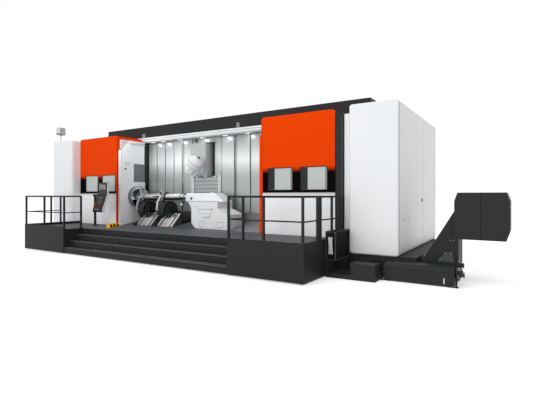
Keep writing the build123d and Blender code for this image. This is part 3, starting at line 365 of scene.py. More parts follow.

# %% [markdown]
# The way covers are stainless sheet, brushed from top to bottom. Brushing leaves
# hairlines a fraction of a millimetre wide, drawn here some millimetres apart so that
# they show. The pool of light from the lamps under the header is painted into the
# sheet's colour as a band in height: brightest near shoulder height of the column, and
# darker toward the top and the floor. Ground parts carry fine rings instead, and noise
# makes both in groups of lines.

# %% Brushed and bright steel
# Cover colour by height: a painted band of lamp light, brightest just under the lamps.
COVER_PAINTED_LAMP_LIGHT = [(1.20, "A6A9AA"), (2.00, "ACB0B1"), (2.50, "AEB2B3"), (2.71, "C0C3C4"),
               (2.95, "DEE1E2"), (3.12, "EEF0F1"), (3.32, "E0E2E3"), (3.52, "C6C9CA"),
               (3.73, "ACB0B1"), (3.95, "989B9C")]
LINE_MM = 8.0
LINES_A_GROUP = 8
STREAK = 0.05
RING_MM = 6.0
RINGS_A_GROUP = 4
RING_TONES = (0.93, 1.05)


def height_tones(tree, place, tones):
    """A colour ramp along Z, with each stop at its height in metres."""
    height = add_node(tree, "SeparateXYZ", {"Vector": place}).outputs["Z"]
    low, high = tones[0][0], tones[-1][0]
    share = add_node(tree, "MapRange", {"Value": height, "From Min": low, "From Max": high})
    ramp = add_node(tree, "ValToRGB", {"Fac": share})
    stops = ramp.color_ramp.elements
    stops[0].position, stops[0].color = 0.0, linear(tones[0][1])
    stops[1].position, stops[1].color = 1.0, linear(tones[-1][1])
    for z, colour in tones[1:-1]:
        stops.new((z - low) / (high - low)).color = linear(colour)
    return ramp


def brushed_steel(name, tones):
    """Steel with vertical hairlines: noise stretched a hundred times along Z."""
    made, tree, shader = new_material(name, Metallic=0.5, Roughness=0.32)
    place = add_node(tree, "TexCoord").outputs["Object"]
    stretch = add_node(tree, "Mapping", {"Vector": place, "Scale": (1.0, 1.0, 0.01)})
    lines = add_node(tree, "TexNoise", {"Vector": stretch, "Scale": 1000 / LINE_MM / LINES_A_GROUP,
                                        "Detail": 4.0})
    tone = add_node(tree, "MapRange", {"Value": lines, "To Min": 1 - STREAK, "To Max": 1 + STREAK})
    feed(shader, "Base Color", add_node(tree, "VectorMath", {
        "operation": "SCALE", 0: height_tones(tree, place, tones), "Scale": tone}))
    roughened(tree, shader, lines, 0.08)
    return made


def ground_steel(name, colour, roughness, metallic=1.0):
    """Steel ground along X, with fine rings RING_MM apart from the wheel's feed."""
    made, tree, shader = new_material(name, Metallic=metallic, Roughness=roughness)
    place = add_node(tree, "TexCoord").outputs["Object"]
    squeeze = add_node(tree, "Mapping", {"Vector": place, "Scale": (1.0, 0.02, 0.02)})
    rings = add_node(tree, "TexNoise", {"Vector": squeeze, "Scale": 1000 / RING_MM / RINGS_A_GROUP,
                                        "Detail": 2.0})
    tone = add_node(tree, "MapRange", {"Value": rings, "To Min": RING_TONES[0],
                                       "To Max": RING_TONES[1]})
    feed(shader, "Base Color", tinted(tree, colour, tone))
    roughened(tree, shader, rings, 0.05)
    return made


# The way covers take the painted band of lamp light.
cover_steel = brushed_steel("brushed_cover_steel", COVER_PAINTED_LAMP_LIGHT)
ram_steel = brushed_steel("brushed_ram_steel", [(2.55, "B4B8B9"), (3.0, "BEC2C2"), (3.9, "B2B6B7")])
bright_steel = ground_steel("ground_bright_steel", "D4D5D6", 0.13)
grey_steel = ground_steel("milled_grey_steel", "8B8F91", 0.28)
bright_plate = ground_steel("ground_saddle_plate", "C6C9CA", 0.30, metallic=0.4)
dark_steel = ground_steel("oiled_dark_steel_and_painted_reflection", "3A3C3E", 0.25)
window_glass = new_material("grey_safety_glass", Base_Color=linear("BFC3C4"), Roughness=0.10,
                            Specular_IOR_Level=0.3)[0]
smoked_glass = new_material("smoked_safety_glass", Base_Color=linear("6F7375"), Roughness=0.15,
                            Specular_IOR_Level=0.3)[0]
screen_glass = new_material("dark_screen_glass", Base_Color=linear("15171B"), Roughness=0.08)[0]
lamp_glow = new_material("frosted_lamp_glass", Base_Color=linear("F4F6F8"), Roughness=0.4,
                         Emission_Color=linear("FFFFFF"), Emission_Strength=0.25)[0]
green_glow = new_material("green_indicator", Base_Color=linear("2FA52A"), Roughness=0.3,
                          Emission_Color=linear("4FE04A"), Emission_Strength=0.8)[0]
print("steels and glass ready")

# %% [markdown]
# The bed is one heavy casting, but in the work area its sloping floor and its ledge are
# clad in stainless sheet. Painted shade runs along X in their colour: dark on the left,
# under the shaft, the steady rests and the tailstock, and pale on the right, past the
# tailstock.

# %% Bed cladding
# Painted shade along X: dark where the rests and the tailstock shade the floor.
BED_PAINTED_SHADE_TONES = [(-1.0, "4C4F50"), (0.0, "585B5C"), (0.6, "6E7172"), (1.3, "8E9192")]
BED_BODY = "232526"
SILL_Y = -0.905
SILL_Z = 0.795


def bed_paint():
    """Faces behind and above the sill take steel tones, painted shade along X; others are dark."""
    made, tree, shader = new_material("clad_bed_casting", Roughness=0.42, Specular_IOR_Level=0.25)
    place = add_node(tree, "TexCoord").outputs["Object"]
    split = add_node(tree, "SeparateXYZ", {"Vector": place}).outputs
    swap = add_node(tree, "CombineXYZ", {"Z": split["X"]})
    inside = add_node(tree, "Math", {"operation": "GREATER_THAN", 0: split["Y"], 1: SILL_Y})
    above = add_node(tree, "Math", {"operation": "GREATER_THAN", 0: split["Z"], 1: SILL_Z})
    clad = add_node(tree, "Math", {"operation": "MULTIPLY", 0: inside, 1: above})
    paint = add_node(tree, "Mix", {"data_type": "RGBA", 0: clad, 6: linear(BED_BODY),
                                   7: height_tones(tree, swap, BED_PAINTED_SHADE_TONES)})
    feed(shader, "Base Color", paint.outputs[2])
    return made


bed_cladding = bed_paint()
print("bed clad behind y", SILL_Y, "and over z", SILL_Z)

# %% [markdown]
# Every imported node takes the finish of the real piece. The record's material slots
# group them, so a short table from slot to material dresses the whole frame, and a few
# nodes with a finish of their own follow, such as the ram's paler brushed sheet. A second
# table lists, for each new finish, the record's slot that comes nearest to it.

# %% Dress the imported nodes
finish_of = {
    "white_enamel": white_enamel, "light_grey_enamel": light_grey_enamel,
    "dark_grey_paint": dark_grey_plate, "charcoal_enamel": charcoal_enamel,
    "orange_enamel": door_paint, "tinted_glass": window_glass,
    "lamp_glass": lamp_glow, "brushed_steel": cover_steel, "bright_steel": bright_steel,
    "blackened_iron": black_casting, "black_plastic": black_plastic,
    "yellow_enamel": yellow_enamel,
}
own_finish = {
    "left_rear_leaf": orange_enamel, "right_rear_leaf": orange_enamel, "bed": bed_cladding,
    "ram": ram_steel, "column": grey_plastic, "chuck": grey_steel, "rear_walls": white_enamel,
}
slot_of = {finish: slot for slot, finish in finish_of.items()}
slot_of.update({
    orange_enamel: "orange_enamel", graphite_enamel: "charcoal_enamel",
    grey_plastic: "black_plastic", black_rubber: "black_plastic", grey_steel: "bright_steel",
    dark_steel: "blackened_iron", screen_glass: "black_plastic", green_glow: "lamp_glass",
    ram_steel: "brushed_steel", bright_plate: "bright_steel", smoked_glass: "tinted_glass",
    brown_keys: "black_plastic", pale_skin_plastic: "black_plastic", pale_hose: "white_enamel",
    nosing_plate: "dark_grey_paint", shaded_lens_grey: "tinted_glass",
})


def dress_nodes():
    """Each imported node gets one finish: its own, or the one of its record's slot."""
    for part in frame["record"]["subparts"]:
        slots = nodes[part["node"]].data.materials
        slots.clear()
        slots.append(own_finish.get(part["node"], finish_of[part["material_slot"]]))


dress_nodes()

# %% [markdown]
# New pieces are numpy surfaces. One function puts points and faces into a mesh, turns
# the faces outwards, and makes the piece ride on its body. Three more work out whole
# families of shapes at once: rounded blocks, turned parts, and tubes along a path.
# Small lists of numbers, all in metres, then say where each one goes.

# %% Shape helpers
BLOCK_CORNERS = np.array([[x, y, z] for x in (0, 1) for y in (0, 1) for z in (0, 1)], float)
BLOCK_FACES = np.array([[0, 1, 3, 2], [4, 6, 7, 5], [0, 4, 5, 1], [2, 3, 7, 6], [0, 2, 6, 4],
                        [1, 5, 7, 3]])
SHARP_ANGLE = math.radians(35)
made_pieces = {}


def put(name, body, finish, points, faces, edge=0.0):
    """A piece from its corner points and faces; edge rounds its corners, in metres."""
    mesh = bpy.data.meshes.new(name)
    mesh.from_pydata(np.asarray(points, float).reshape(-1, 3).tolist(), [], faces)
    form = bmesh.new()
    form.from_mesh(mesh)
    bmesh.ops.recalc_face_normals(form, faces=form.faces[:])
    form.to_mesh(mesh)
    form.free()
    mesh.shade_smooth()
    mesh.set_sharp_from_angle(angle=SHARP_ANGLE)
    mesh.materials.append(finish)
    piece = bpy.data.objects.new(name, mesh)
    bpy.context.scene.collection.objects.link(piece)
    if edge:
        rounding = piece.modifiers.new("rounded_edges", "BEVEL")
        rounding.width = edge
        rounding.segments = 2
        rounding.limit_method = "ANGLE"
    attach(piece, body)
    made_pieces[name] = len(faces)


def blocks(name, body, finish, spans, edge, place=None):
    """Closed blocks in one mesh. Each row is x0, x1, y0, y1, z0, z1, and a corner is the
    low end plus its share, nought or one, of the span. place moves local points."""
    spans = np.asarray(spans, float).reshape(-1, 3, 2)
    low, size = spans[:, None, :, 0], (spans[:, :, 1] - spans[:, :, 0])[:, None, :]
    points = low + BLOCK_CORNERS[None] * size
    if place is not None:
        points = place(points)
    faces = (BLOCK_FACES[None] + 8 * np.arange(len(spans))[:, None, None]).reshape(-1, 4)
    put(name, body, finish, points, faces.tolist(), edge)


def ring_axes(ways):
    """Two unit vectors across each direction, square to it and to each other."""
    ways = ways / np.linalg.norm(ways, axis=-1, keepdims=True)
    aside = np.where(np.abs(ways[..., 2:3]) < 0.9, [[0.0, 0.0, 1.0]], [[1.0, 0.0, 0.0]])
    u = np.cross(aside, ways)
    u /= np.linalg.norm(u, axis=-1, keepdims=True)
    return ways, u, np.cross(ways, u)


def band_quads(rings, sides, closed=False):
    """Quads between neighbouring rings of points; closed joins the last to the first."""
    ring, side = np.meshgrid(np.arange(rings if closed else rings - 1), np.arange(sides),
                             indexing="ij")
    next_ring, next_side = (ring + 1) % rings, (side + 1) % sides
    quads = np.stack([ring * sides + side, ring * sides + next_side,
                      next_ring * sides + next_side, next_ring * sides + side], -1)
    return quads.reshape(-1, 4)


def tube_faces(count, rings, sides):
    """Quads between the rings of each tube, and one face to close each end."""
    first = np.arange(sides)
    offsets = np.arange(count)[:, None, None] * rings * sides
    walls = (band_quads(rings, sides)[None] + offsets).reshape(-1, 4).tolist()
    ends = np.stack([first[::-1], first + (rings - 1) * sides])
    return walls + (ends[None] + offsets).reshape(-1, sides).tolist()


def turned(name, body, finish, starts, ways, profile, sides):
    """Turned parts in one mesh. A profile row is a distance along the axis and a radius,
    and a ring's point is start + way * distance + radius * (cos a * u + sin a * v)."""
    starts = np.asarray(starts, float).reshape(-1, 3)
    ways = np.broadcast_to(np.asarray(ways, float).reshape(-1, 3), starts.shape)
    profile = np.asarray(profile, float)
    ways, u, v = ring_axes(ways)
    turn = np.linspace(0, 2 * np.pi, sides, endpoint=False)[:, None]
    circle = np.cos(turn) * u[:, None] + np.sin(turn) * v[:, None]
    centre = starts[:, None] + ways[:, None] * profile[None, :, :1]
    points = centre[:, :, None] + circle[:, None] * profile[None, :, 1, None, None]
    put(name, body, finish, points, tube_faces(len(starts), len(profile), sides))


def tubes(name, body, finish, paths, radii, sides=12):
    """Round tubes along paths of equal length. At each path point the ring lies across
    the local direction, with its own radius, so a ripple in radii makes a bellows."""
    paths = np.asarray(paths, float)
    radii = np.broadcast_to(np.asarray(radii, float), paths.shape[:2])
    ways, u, v = ring_axes(np.gradient(paths, axis=1))
    turn = np.linspace(0, 2 * np.pi, sides, endpoint=False)[:, None]
    circle = np.cos(turn) * u[:, :, None] + np.sin(turn) * v[:, :, None]
    points = paths[:, :, None] + circle * radii[:, :, None, None]
    put(name, body, finish, points, tube_faces(paths.shape[0], paths.shape[1], sides))


def bar_profile(length, radius, edge=0.004):
    """A plain round bar with a small chamfer at both ends."""
    return [(0, radius - edge), (edge, radius), (length - edge, radius), (length, radius - edge)]


def bolts(name, body, finish, spots, way, radius, height):
    """Hexagon heads, all facing one way."""
    turned(name, body, finish, spots, way, bar_profile(height, radius, height / 4), 6)


def round_spots(centre, radius, u, v, turns):
    """Spots round a circle: centre + radius * (cos a * u + sin a * v)."""
    turns = np.asarray(turns)[:, None]
    return np.asarray(centre) + radius * (np.cos(turns) * u + np.sin(turns) * v)


X_WAY, Y_WAY, Z_WAY = np.eye(3)

# %% [markdown]
# Most trim sits on a flat face of the machine, a little proud of it and a little sunk
# into it. So a face is kept as three values: its plane, its place on the third axis,
# and the way it looks, 1 or -1. Blocks, outlines and rims all take one. A rim is a
# strip round a rounded rectangle: a window's rubber, a door's gap, a vent's border.

# %% Pieces on a face
CORNER_STEPS = 4


def corners(node):
    """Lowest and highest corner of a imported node, as two arrays."""
    low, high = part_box(node)
    return np.array(low), np.array(high)


def axes_of(face):
    """Numbers of the two axes of a face's plane, and of the axis across it."""
    first, second = ("xyz".index(letter) for letter in face[0])
    return first, second, 3 - first - second


def face_of(node, plane, out):
    """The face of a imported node's box that lies in a plane and looks out."""
    return plane, corners(node)[int(out > 0)][axes_of((plane,))[2]], out


def depths(face, proud, sunk):
    """Low and high end, across a face, of what stands proud of it and is sunk in it."""
    _, at, out = face
    return sorted((at + out * proud, at - out * sunk))


def face_blocks(name, body, finish, face, proud, sunk, rows, edge=0.0):
    """Blocks on a face; a row is u0, u1, v0, v1 and, where it differs, its own proud."""
    first, second, third = axes_of(face)
    spans = np.zeros((len(rows), 3, 2))
    for span, row in zip(spans, rows):
        span[first], span[second] = row[:2], row[2:4]
        span[third] = depths(face, row[4] if len(row) > 4 else proud, sunk)
    blocks(name, body, finish, spans, edge)


def face_parts(body, table):
    """A table of blocks on faces of one body."""
    for name, *row in table:
        face_blocks(name, body, *row)


def outlined(name, body, finish, face, outline, proud, sunk, edge):
    """A flat outline on a face, given a thickness: its points at both depths."""
    outline = np.asarray(outline, float)
    first, second, third = axes_of(face)
    count = len(outline)
    points = np.zeros((2, count, 3))
    points[:, :, first], points[:, :, second] = outline[:, 0], outline[:, 1]
    points[:, :, third] = np.array(depths(face, proud, sunk))[:, None]
    here = np.arange(count)
    ends = [here.tolist(), (here + count).tolist()]
    put(name, body, finish, points, band_quads(2, count).tolist() + ends, edge)


def round_loop(low_u, high_u, low_v, high_v, radius):
    """Points round a rectangle: each corner is a quarter circle of the given radius."""
    turn = np.linspace(0, np.pi / 2, CORNER_STEPS + 1)
    angle = (np.arange(4)[:, None] * np.pi / 2 + turn).ravel()
    right, left, top, foot = high_u - radius, low_u + radius, high_v - radius, low_v + radius
    centre_u = np.repeat([right, left, left, right], CORNER_STEPS + 1)
    centre_v = np.repeat([top, top, foot, foot], CORNER_STEPS + 1)
    return np.stack([centre_u + radius * np.cos(angle), centre_v + radius * np.sin(angle)], -1)


def rims(name, body, finish, face, spans, width, proud, sunk, radius=0.02):
    """Closed bands round rectangles on a face. Each row of spans is u0, u1, v0, v1 on the
    outside, and the inside lies one width further in."""
    first, second, third = axes_of(face)
    low, high = depths(face, proud, sunk)
    parts = []
    for u0, u1, v0, v1 in spans:
        outer = round_loop(u0, u1, v0, v1, radius)
        inner = round_loop(u0 + width, u1 - width, v0 + width, v1 - width,
                           max(radius - width, 0.001))
        part = np.zeros((4, len(outer), 3))
        for ring, (loop, depth) in zip(part, [(outer, low), (outer, high), (inner, high),
                                              (inner, low)]):
            ring[:, first], ring[:, second], ring[:, third] = loop[:, 0], loop[:, 1], depth
        parts.append(part)
    count = len(outer)
    faces = band_quads(4, count, closed=True) + np.arange(len(parts))[:, None, None] * 4 * count
    put(name, body, finish, np.array(parts), faces.reshape(-1, 4).tolist())


# %% [markdown]
# Each leaf ends in an orange edge profile that runs over the coloured bands. On the end
# face of the left leaf sits a black rubber seal, which the right leaf meets when the
# doors close. The windows are safety glass held in black rubber. A grey strip inside the
# right edge of each pane is painted shade, and on the right leaf a dark strip inside the
# left edge of each pane is painted shade of the window's reveal.

# %% Door profiles, seals and window rubbers
TRIM_W = 0.045
TRIM_T = 0.004
LEAF_INSET = 0.010
LEAF_ROUNDING = 0.130
SEAL_T = 0.003
SEAL_TOP = 3.630
RUBBER_W = 0.020
RUBBER_OUT = 0.006
GLASS_CLEAR = 0.0005
PANE_POST = 0.240
PANE_INSET = 0.018
SHADE_W = 0.215
CAP_T = 0.0008
REAR_LEAF_T = 0.040


def pane_spans(side):
    """x0, x1, z0 and z1 of the two panes of a leaf, and the face of its glass."""
    low, high = corners(side + "_door_windows")
    width = (high[0] - low[0] - PANE_POST) / 2
    return [(low[0], low[0] + width, low[2], high[2]),
            (high[0] - width, high[0], low[2], high[2])], ("xz", low[1], -1)


def dress_leaf(side, lead, inward):
    """lead is the leading edge's X; inward is the direction from it into the leaf."""
    body = side + "_front_leaf"
    low, high = corners(body)
    front = ("xz", low[1], -1)
    heights = (low[2] + LEAF_INSET, high[2] - LEAF_ROUNDING)
    trim_x = lead + inward * TRIM_W
    far_x = low[0] + LEAF_INSET if inward < 0 else high[0] - LEAF_INSET
    panes, glass = pane_spans(side)
    face_parts(body, [
        (side + "_edge_profile", orange_enamel, front, TRIM_T, TRIM_T,
         [(*sorted([lead, trim_x]), *heights)], 0.001),
        (side + "_edge_shadow_gap", black_rubber, front, TRIM_T / 4, TRIM_T,
         [(*sorted([trim_x, trim_x + inward * 0.005]), *heights)]),
        (side + "_band_lip", black_rubber, front, 0.006, 0.002,
         [(*sorted([trim_x + inward * 0.012, far_x]), BAND_WHITE_TOP, BAND_WHITE_TOP + 0.02)], 0.001),
        # Painted shade: a grey strip along each pane's right edge.
        (side + "_window_slide_rails", grey_plastic, glass, 0.003, -GLASS_CLEAR,
         [(x1 - 0.075, x1 - PANE_INSET, z0 + PANE_INSET, z1 - PANE_INSET)
          for x0, x1, z0, z1 in panes], 0.001)])
    rims(side + "_window_rubbers", body, black_rubber, front,
         [(x0 - RUBBER_OUT, x1 + RUBBER_OUT, z0 - RUBBER_OUT, z1 + RUBBER_OUT)
          for x0, x1, z0, z1 in panes], RUBBER_W, 0.003, glass[1] - GLASS_CLEAR - low[1], 0.03)


left_low, left_high = corners("left_front_leaf")
rear_low, rear_high = corners("left_rear_leaf")
dress_leaf("left", left_high[0], -1)
dress_leaf("right", corners("right_front_leaf")[0][0], 1)
blocks("left_leaf_end_seal", "left_front_leaf", black_rubber,
       [(left_high[0], left_high[0] + SEAL_T, left_low[1] + 0.008, left_low[1] + 0.028,
         left_low[2] + LEAF_INSET, SEAL_TOP)], 0.001)
blocks("left_rear_leaf_end_cap", "left_rear_leaf", white_enamel,
       [(left_high[0] - 0.02, rear_high[0] + CAP_T, rear_low[1] - CAP_T,
         rear_low[1] + REAR_LEAF_T - 0.001, rear_low[2] + LEAF_INSET, SEAL_TOP)], 0.0)
shaded_panes, shaded_glass = pane_spans("right")
# Painted shade: a dark strip along the left edge of the right leaf's panes.
face_blocks("right_window_painted_shade", "right_front_leaf", charcoal_enamel, shaded_glass, 0.004,
            -GLASS_CLEAR, [(x0 + PANE_INSET, x0 + SHADE_W, z0 + PANE_INSET, z1 - PANE_INSET)
                           for x0, x1, z0, z1 in shaded_panes], 0.001)
print("right window panes", np.round(shaded_panes, 3).tolist())

# %% [markdown]
# The way covers are layers of sheet that slide behind one another as the column moves.
# The free edge of each layer carries a dark wiper lip, painted dark also as the shadow
# that the layer casts on the next, and a thin bright fold stands beside it. Each lip
# rides on its own layer.

# %% Way cover lips
LIP_W = 0.034
LIP_T = 0.0035
FOLD_W = 0.012
LIP_SUNK = 0.001


def cover_lips(node, body, end):
    """A lip and a fold on a layer's free edge, which is its end 0, left, or 1, right."""
    low, high = corners(node)
    face = ("xz", low[1], -1)
    edge, inward = (low, high)[end][0], 1 - 2 * end
    stops = [edge + inward * width for width in (0, LIP_W, LIP_W + FOLD_W)]
    heights = (low[2] + 0.01, high[2] - 0.01)
    name = node + ("_left", "_right")[end]
    face_parts(body, [
        # Dark as a wiper lip, and as painted shadow on the next layer.
        (name + "_wiper_lip", graphite_enamel, face, LIP_T, LIP_SUNK,
         [(*sorted(stops[:2]), *heights)], 0.001),
        (name + "_bright_fold", bright_steel, face, LIP_T / 2, LIP_SUNK,
         [(*sorted(stops[1:]), *heights)], 0.0005)])


cover_lips("column_frame", "column", 0)
cover_lips("column_frame", "column", 1)
for end, side in enumerate(("left", "right")):
    for layer in (1, 2, 3):
        cover_lips(f"{side}_cover_{layer}", f"{side}_cover_{layer}", end)
print("cover lips", LIP_W * 1000, "mm wide")

# %% [markdown]
# The column's opening is framed by two pale posts. Between them, steel slats close the
# column's foot, held at the top by three clamps. The recess beside the ram has a dark
# rubber edge, a stop plate hangs above the ram, and a pale plate on the ram's side is
# painted light, so that the shaded side in the recess shows mid-grey.

# %% Column front
COLUMN_FRONT = face_of("column_frame", "xz", -1)
POSTS_X = [(-2.034, -1.886), (-0.764, -0.640)]
CLAMPS_X = [(-1.773, -1.676), (-1.365, -1.271), (-0.969, -0.855)]
SLAT_TOP = 2.56
SLAT_FOOT = 1.3223
SLATS = 9
slat_z = SLAT_FOOT + np.arange(1, SLATS + 1) * (SLAT_TOP - SLAT_FOOT) / SLATS
ram_low, ram_high = corners("ram")
face_parts("column", [
    ("column_frame_posts", light_grey_enamel, COLUMN_FRONT, 0.003, 0.001,
     [(x0, x1, SLAT_FOOT + 0.01, SLAT_TOP + 0.06) for x0, x1 in POSTS_X], 0.002),
    ("slat_shadow_gaps", graphite_enamel, COLUMN_FRONT, 0.002, 0.020,
     [(POSTS_X[0][1], POSTS_X[1][0], z - 0.007, z + 0.007) for z in slat_z], 0.001),
    ("slat_top_clamps", bright_steel, COLUMN_FRONT, 0.022, 0.020,
     [(x0, x1, SLAT_TOP - 0.01, SLAT_TOP + 0.04) for x0, x1 in CLAMPS_X], 0.006),
    ("recess_edge_rubber", black_rubber, COLUMN_FRONT, 0.003, 0.045,
     [(-1.000, -0.950, ram_low[2] - 0.01, ram_high[2] + 0.02)], 0.003),
    ("ram_stop_plate", graphite_enamel, COLUMN_FRONT, 0.004, 0.020,
     [(-1.850, -1.770, 3.849, 3.975), (-1.400, -0.888, 3.804, 3.822)], 0.003)])
# Painted light: a pale plate that lifts the shaded side of the ram in its recess.
face_blocks("ram_side_painted_light_plate", "ram", light_grey_enamel, ("yz", ram_high[0], 1), 0.002, 0.0,
            [(ram_low[1] + 0.01, ram_high[1] - 0.02, ram_low[2] + 0.01, ram_high[2] - 0.01)])
print("slats every", round(float(slat_z[1] - slat_z[0]), 4), "m")

# %% [markdown]
# The milling head is a drum on a swivel disc. Thin seams run round the drum, a plain
# plate with a black plug closes its top, and a round cover closes its front bearing.
# All of them turn with the head.

# %% Milling head details
HEAD_CENTRE = np.array([-1.55, -0.29, 2.835])
TILT = math.radians(45)
HEAD_AXIS = np.array([math.sin(TILT), 0, math.cos(TILT)])
HEAD_SIDE = np.array([math.cos(TILT), 0, -math.sin(TILT)])
DRUM_R = 0.262
SEAM_PROUD = 0.0015


def head_point(along, forward=0.0):
    """A point from the head's centre, along its tilted axis and toward the operator."""
    return HEAD_CENTRE + along * HEAD_AXIS - forward * Y_WAY


for name, finish, along, radius, height in (
        ("head_drum_seam", black_rubber, 0.300, DRUM_R + SEAM_PROUD, 0.009),
        ("head_neck_seam", graphite_enamel, 0.168, DRUM_R + SEAM_PROUD, 0.005),
        ("head_cap_ring", bright_steel, 0.386, DRUM_R - 0.004, 0.006)):
    turned(name, "milling_head", finish, head_point(along), HEAD_AXIS,
           [(0, radius - 0.02), (0, radius), (height, radius), (height, radius - 0.02)], 64)
for name, finish, spot, way, length, radius, edge, sides in (
        ("head_top_plate", light_grey_enamel, head_point(0.520), HEAD_AXIS, 0.012, 0.120, 0.003, 48),
        ("head_top_plug", black_plastic, head_point(0.530), HEAD_AXIS, 0.012, 0.055, 0.003, 32),
        ("head_bearing_cover", white_enamel, head_point(0.02, 0.175), -Y_WAY, 0.020, 0.095, 0.006, 48)):
    turned(name, "milling_head", finish, spot, way, bar_profile(length, radius, edge), sides)
eighths = np.linspace(0, 2 * np.pi, 8, endpoint=False)
bolts("head_plate_bolts", "milling_head", bright_steel,
      round_spots(head_point(0.531), 0.09, HEAD_SIDE, Y_WAY, eighths), HEAD_AXIS, 0.009, 0.008)
bolts("head_cover_bolts", "milling_head", grey_steel,
      round_spots(head_point(0.02, 0.194), 0.075, X_WAY, Z_WAY, eighths), -Y_WAY, 0.007, 0.006)
print("head bolts", 2 * len(eighths))

# %% [markdown]
# The chuck has a broad polished rim, a bright hub ring, and between them a face painted
# dark, as a painted reflection of dark surroundings. Grooves run round its rim, and
# screws hold the rim and the jaws. Everything here turns with the work spindle.

# %% Chuck details
AXIS_Y = -0.28
AXIS_Z = 1.86
CHUCK_R = 0.405
GROOVE_DEPTH = 0.020
JAWS = 4
chuck_back, chuck_face = (corner[0] for corner in corners("chuck"))


def spindle_band(name, body, finish, loops, sides=64):
    """A ring round the spindle axis, closed through its bore. A loop is an X and a
    radius, and its points lie at the axis + radius * (cos a * z + sin a * y)."""
    turn = np.linspace(0, 2 * np.pi, sides, endpoint=False)
    loops = np.asarray(loops, float)
    points = np.stack([np.broadcast_to(loops[:, :1], (len(loops), sides)),
                       AXIS_Y + loops[:, 1:] * np.sin(turn),
                       AXIS_Z + loops[:, 1:] * np.cos(turn)], -1)
    faces = band_quads(len(loops), sides, closed=True)
    put(name, body, finish, points, faces.tolist())


for name, finish, outer, inner, height in (
        ("chuck_polished_rim", bright_steel, CHUCK_R - 0.012, 0.330, 0.004),
        # The face is painted dark as a painted reflection of dark surroundings.
        ("chuck_face_painted_dark_reflection", dark_steel, 0.330, 0.175, 0.002),
        ("chuck_hub_ring", bright_steel, 0.175, 0.120, 0.030)):
    top = chuck_face + height
    spindle_band(name, "work_spindle", finish,
                 [(chuck_face, inner), (top, inner), (top, outer), (chuck_face, outer)], 96)
for number, (x, width) in enumerate([(0.035, 0.010), (0.085, 0.006), (0.150, 0.010)]):
    inner, outer = CHUCK_R - GROOVE_DEPTH, CHUCK_R + 0.0008
    turned(f"chuck_rim_groove_{number + 1}", "work_spindle", dark_steel,
           (chuck_back + x, AXIS_Y, AXIS_Z), X_WAY,
           [(0, inner), (0, outer), (width, outer), (width, inner)], 96)
jaw_turns = np.radians(360 * (np.arange(JAWS) + 0.5) / JAWS - 35)
rim_turns = (jaw_turns[:, None] + [0.35, 0.52, 0.69]).ravel()
bolts("chuck_rim_bolts", "work_spindle", dark_steel,
      round_spots((chuck_face + 0.003, AXIS_Y, AXIS_Z), 0.362, Z_WAY, Y_WAY, rim_turns), X_WAY,
      0.011, 0.008)
jaw_face = (corners("chuck_jaws")[1][0], AXIS_Y, AXIS_Z)
bolts("chuck_jaw_screws", "work_spindle", dark_steel,
      np.concatenate([round_spots(jaw_face, radius, Z_WAY, Y_WAY, -jaw_turns)
                      for radius in (0.24, 0.31)]), X_WAY, 0.016, 0.010)
print("chuck face at x", round(float(chuck_face), 3))

# %% [markdown]
# Steady rests carry a long shaft between its ends. Black cast drums hold the arms, whose
# bright cage closes round the shaft, and the saddles ride on ways up the sloping floor.
# The saddles' fronts are bright ground plates with dark grooves between the rails.

# %% Steady rest details
REST_DROP = 0.525
DRUM_HALF = 0.130
REST_DRUM_R = 0.362
SADDLE_LEAD = 0.030
SADDLE_W = 0.760
SLOPE_LENGTH = 0.640
CAGE_GAP = 0.008
HOOP_EDGE = 0.005
SADDLE_RAILS = [(0.020, 0.105), (0.190, 0.500), (0.560, 0.605), (0.675, 0.745)]
SADDLE_GROOVES = [(0.115, 0.180), (0.612, 0.665)]
PINS_YZ = [(-0.330, -0.200), (-0.370, -0.480), (-0.320, -0.690)]
twelfths = np.linspace(0, 2 * np.pi, 12, endpoint=False)


def on_slope(y, z, angle):
    """Maps local x, distance up a slope, height off it, to the machine's frame."""
    along, out = (math.cos(angle), math.sin(angle)), (-math.sin(angle), math.cos(angle))

    def place(points):
        """Local points, moved to the slope."""
        x, s, t = points[..., 0], points[..., 1], points[..., 2]
        return np.stack([x, y + s * along[0] + t * out[0], z + s * along[1] + t * out[1]], -1)

    return place


def hoop(name, body, finish, x0, x1, inner, outer):
    """A ring round the spindle axis with chamfered outer edges."""
    spindle_band(name, body, finish,
                 [(x0, inner), (x0, outer - HOOP_EDGE), (x0 + HOOP_EDGE, outer),
                  (x1 - HOOP_EDGE, outer), (x1, outer - HOOP_EDGE), (x1, inner)])


def dress_saddle(body, low, x0):
    """Plate, rails, grooves and end stops up the saddle's slope, and its side plate."""
    slope = on_slope(low[1], low[2] + 0.002, math.radians(45))
    for name, finish, edge, rows in (
            ("_front_plate", bright_plate, 0.002,
             [(0.004, SADDLE_W - 0.004, 0.012, SLOPE_LENGTH, -0.002, 0.004)]),
            ("_rails", bright_steel, 0.003,
             [(*rail, 0.02, SLOPE_LENGTH - 0.01, 0.003, 0.016) for rail in SADDLE_RAILS]),
            ("_grooves", black_rubber, 0.001,
             [(*groove, 0.02, SLOPE_LENGTH - 0.02, 0.003, 0.007) for groove in SADDLE_GROOVES]),
            ("_rail_end_stops", dark_steel, 0.004,
             [(0.505, 0.585, 0.52, 0.57, 0.012, 0.040), (0.535, 0.600, 0.44, 0.48, 0.012, 0.034)])):
        blocks(body + name, body, finish, np.array(rows) + [x0, x0, 0, 0, 0, 0], edge, slope)
    outlined(body + "_side_plate", body, graphite_enamel, ("yz", x0 + SADDLE_W, 1),
             np.array([(0.040, 0.015), (0.480, 0.445), (0.480, 0.015)]) + low[1:], 0.003, 0.002, 0.001)


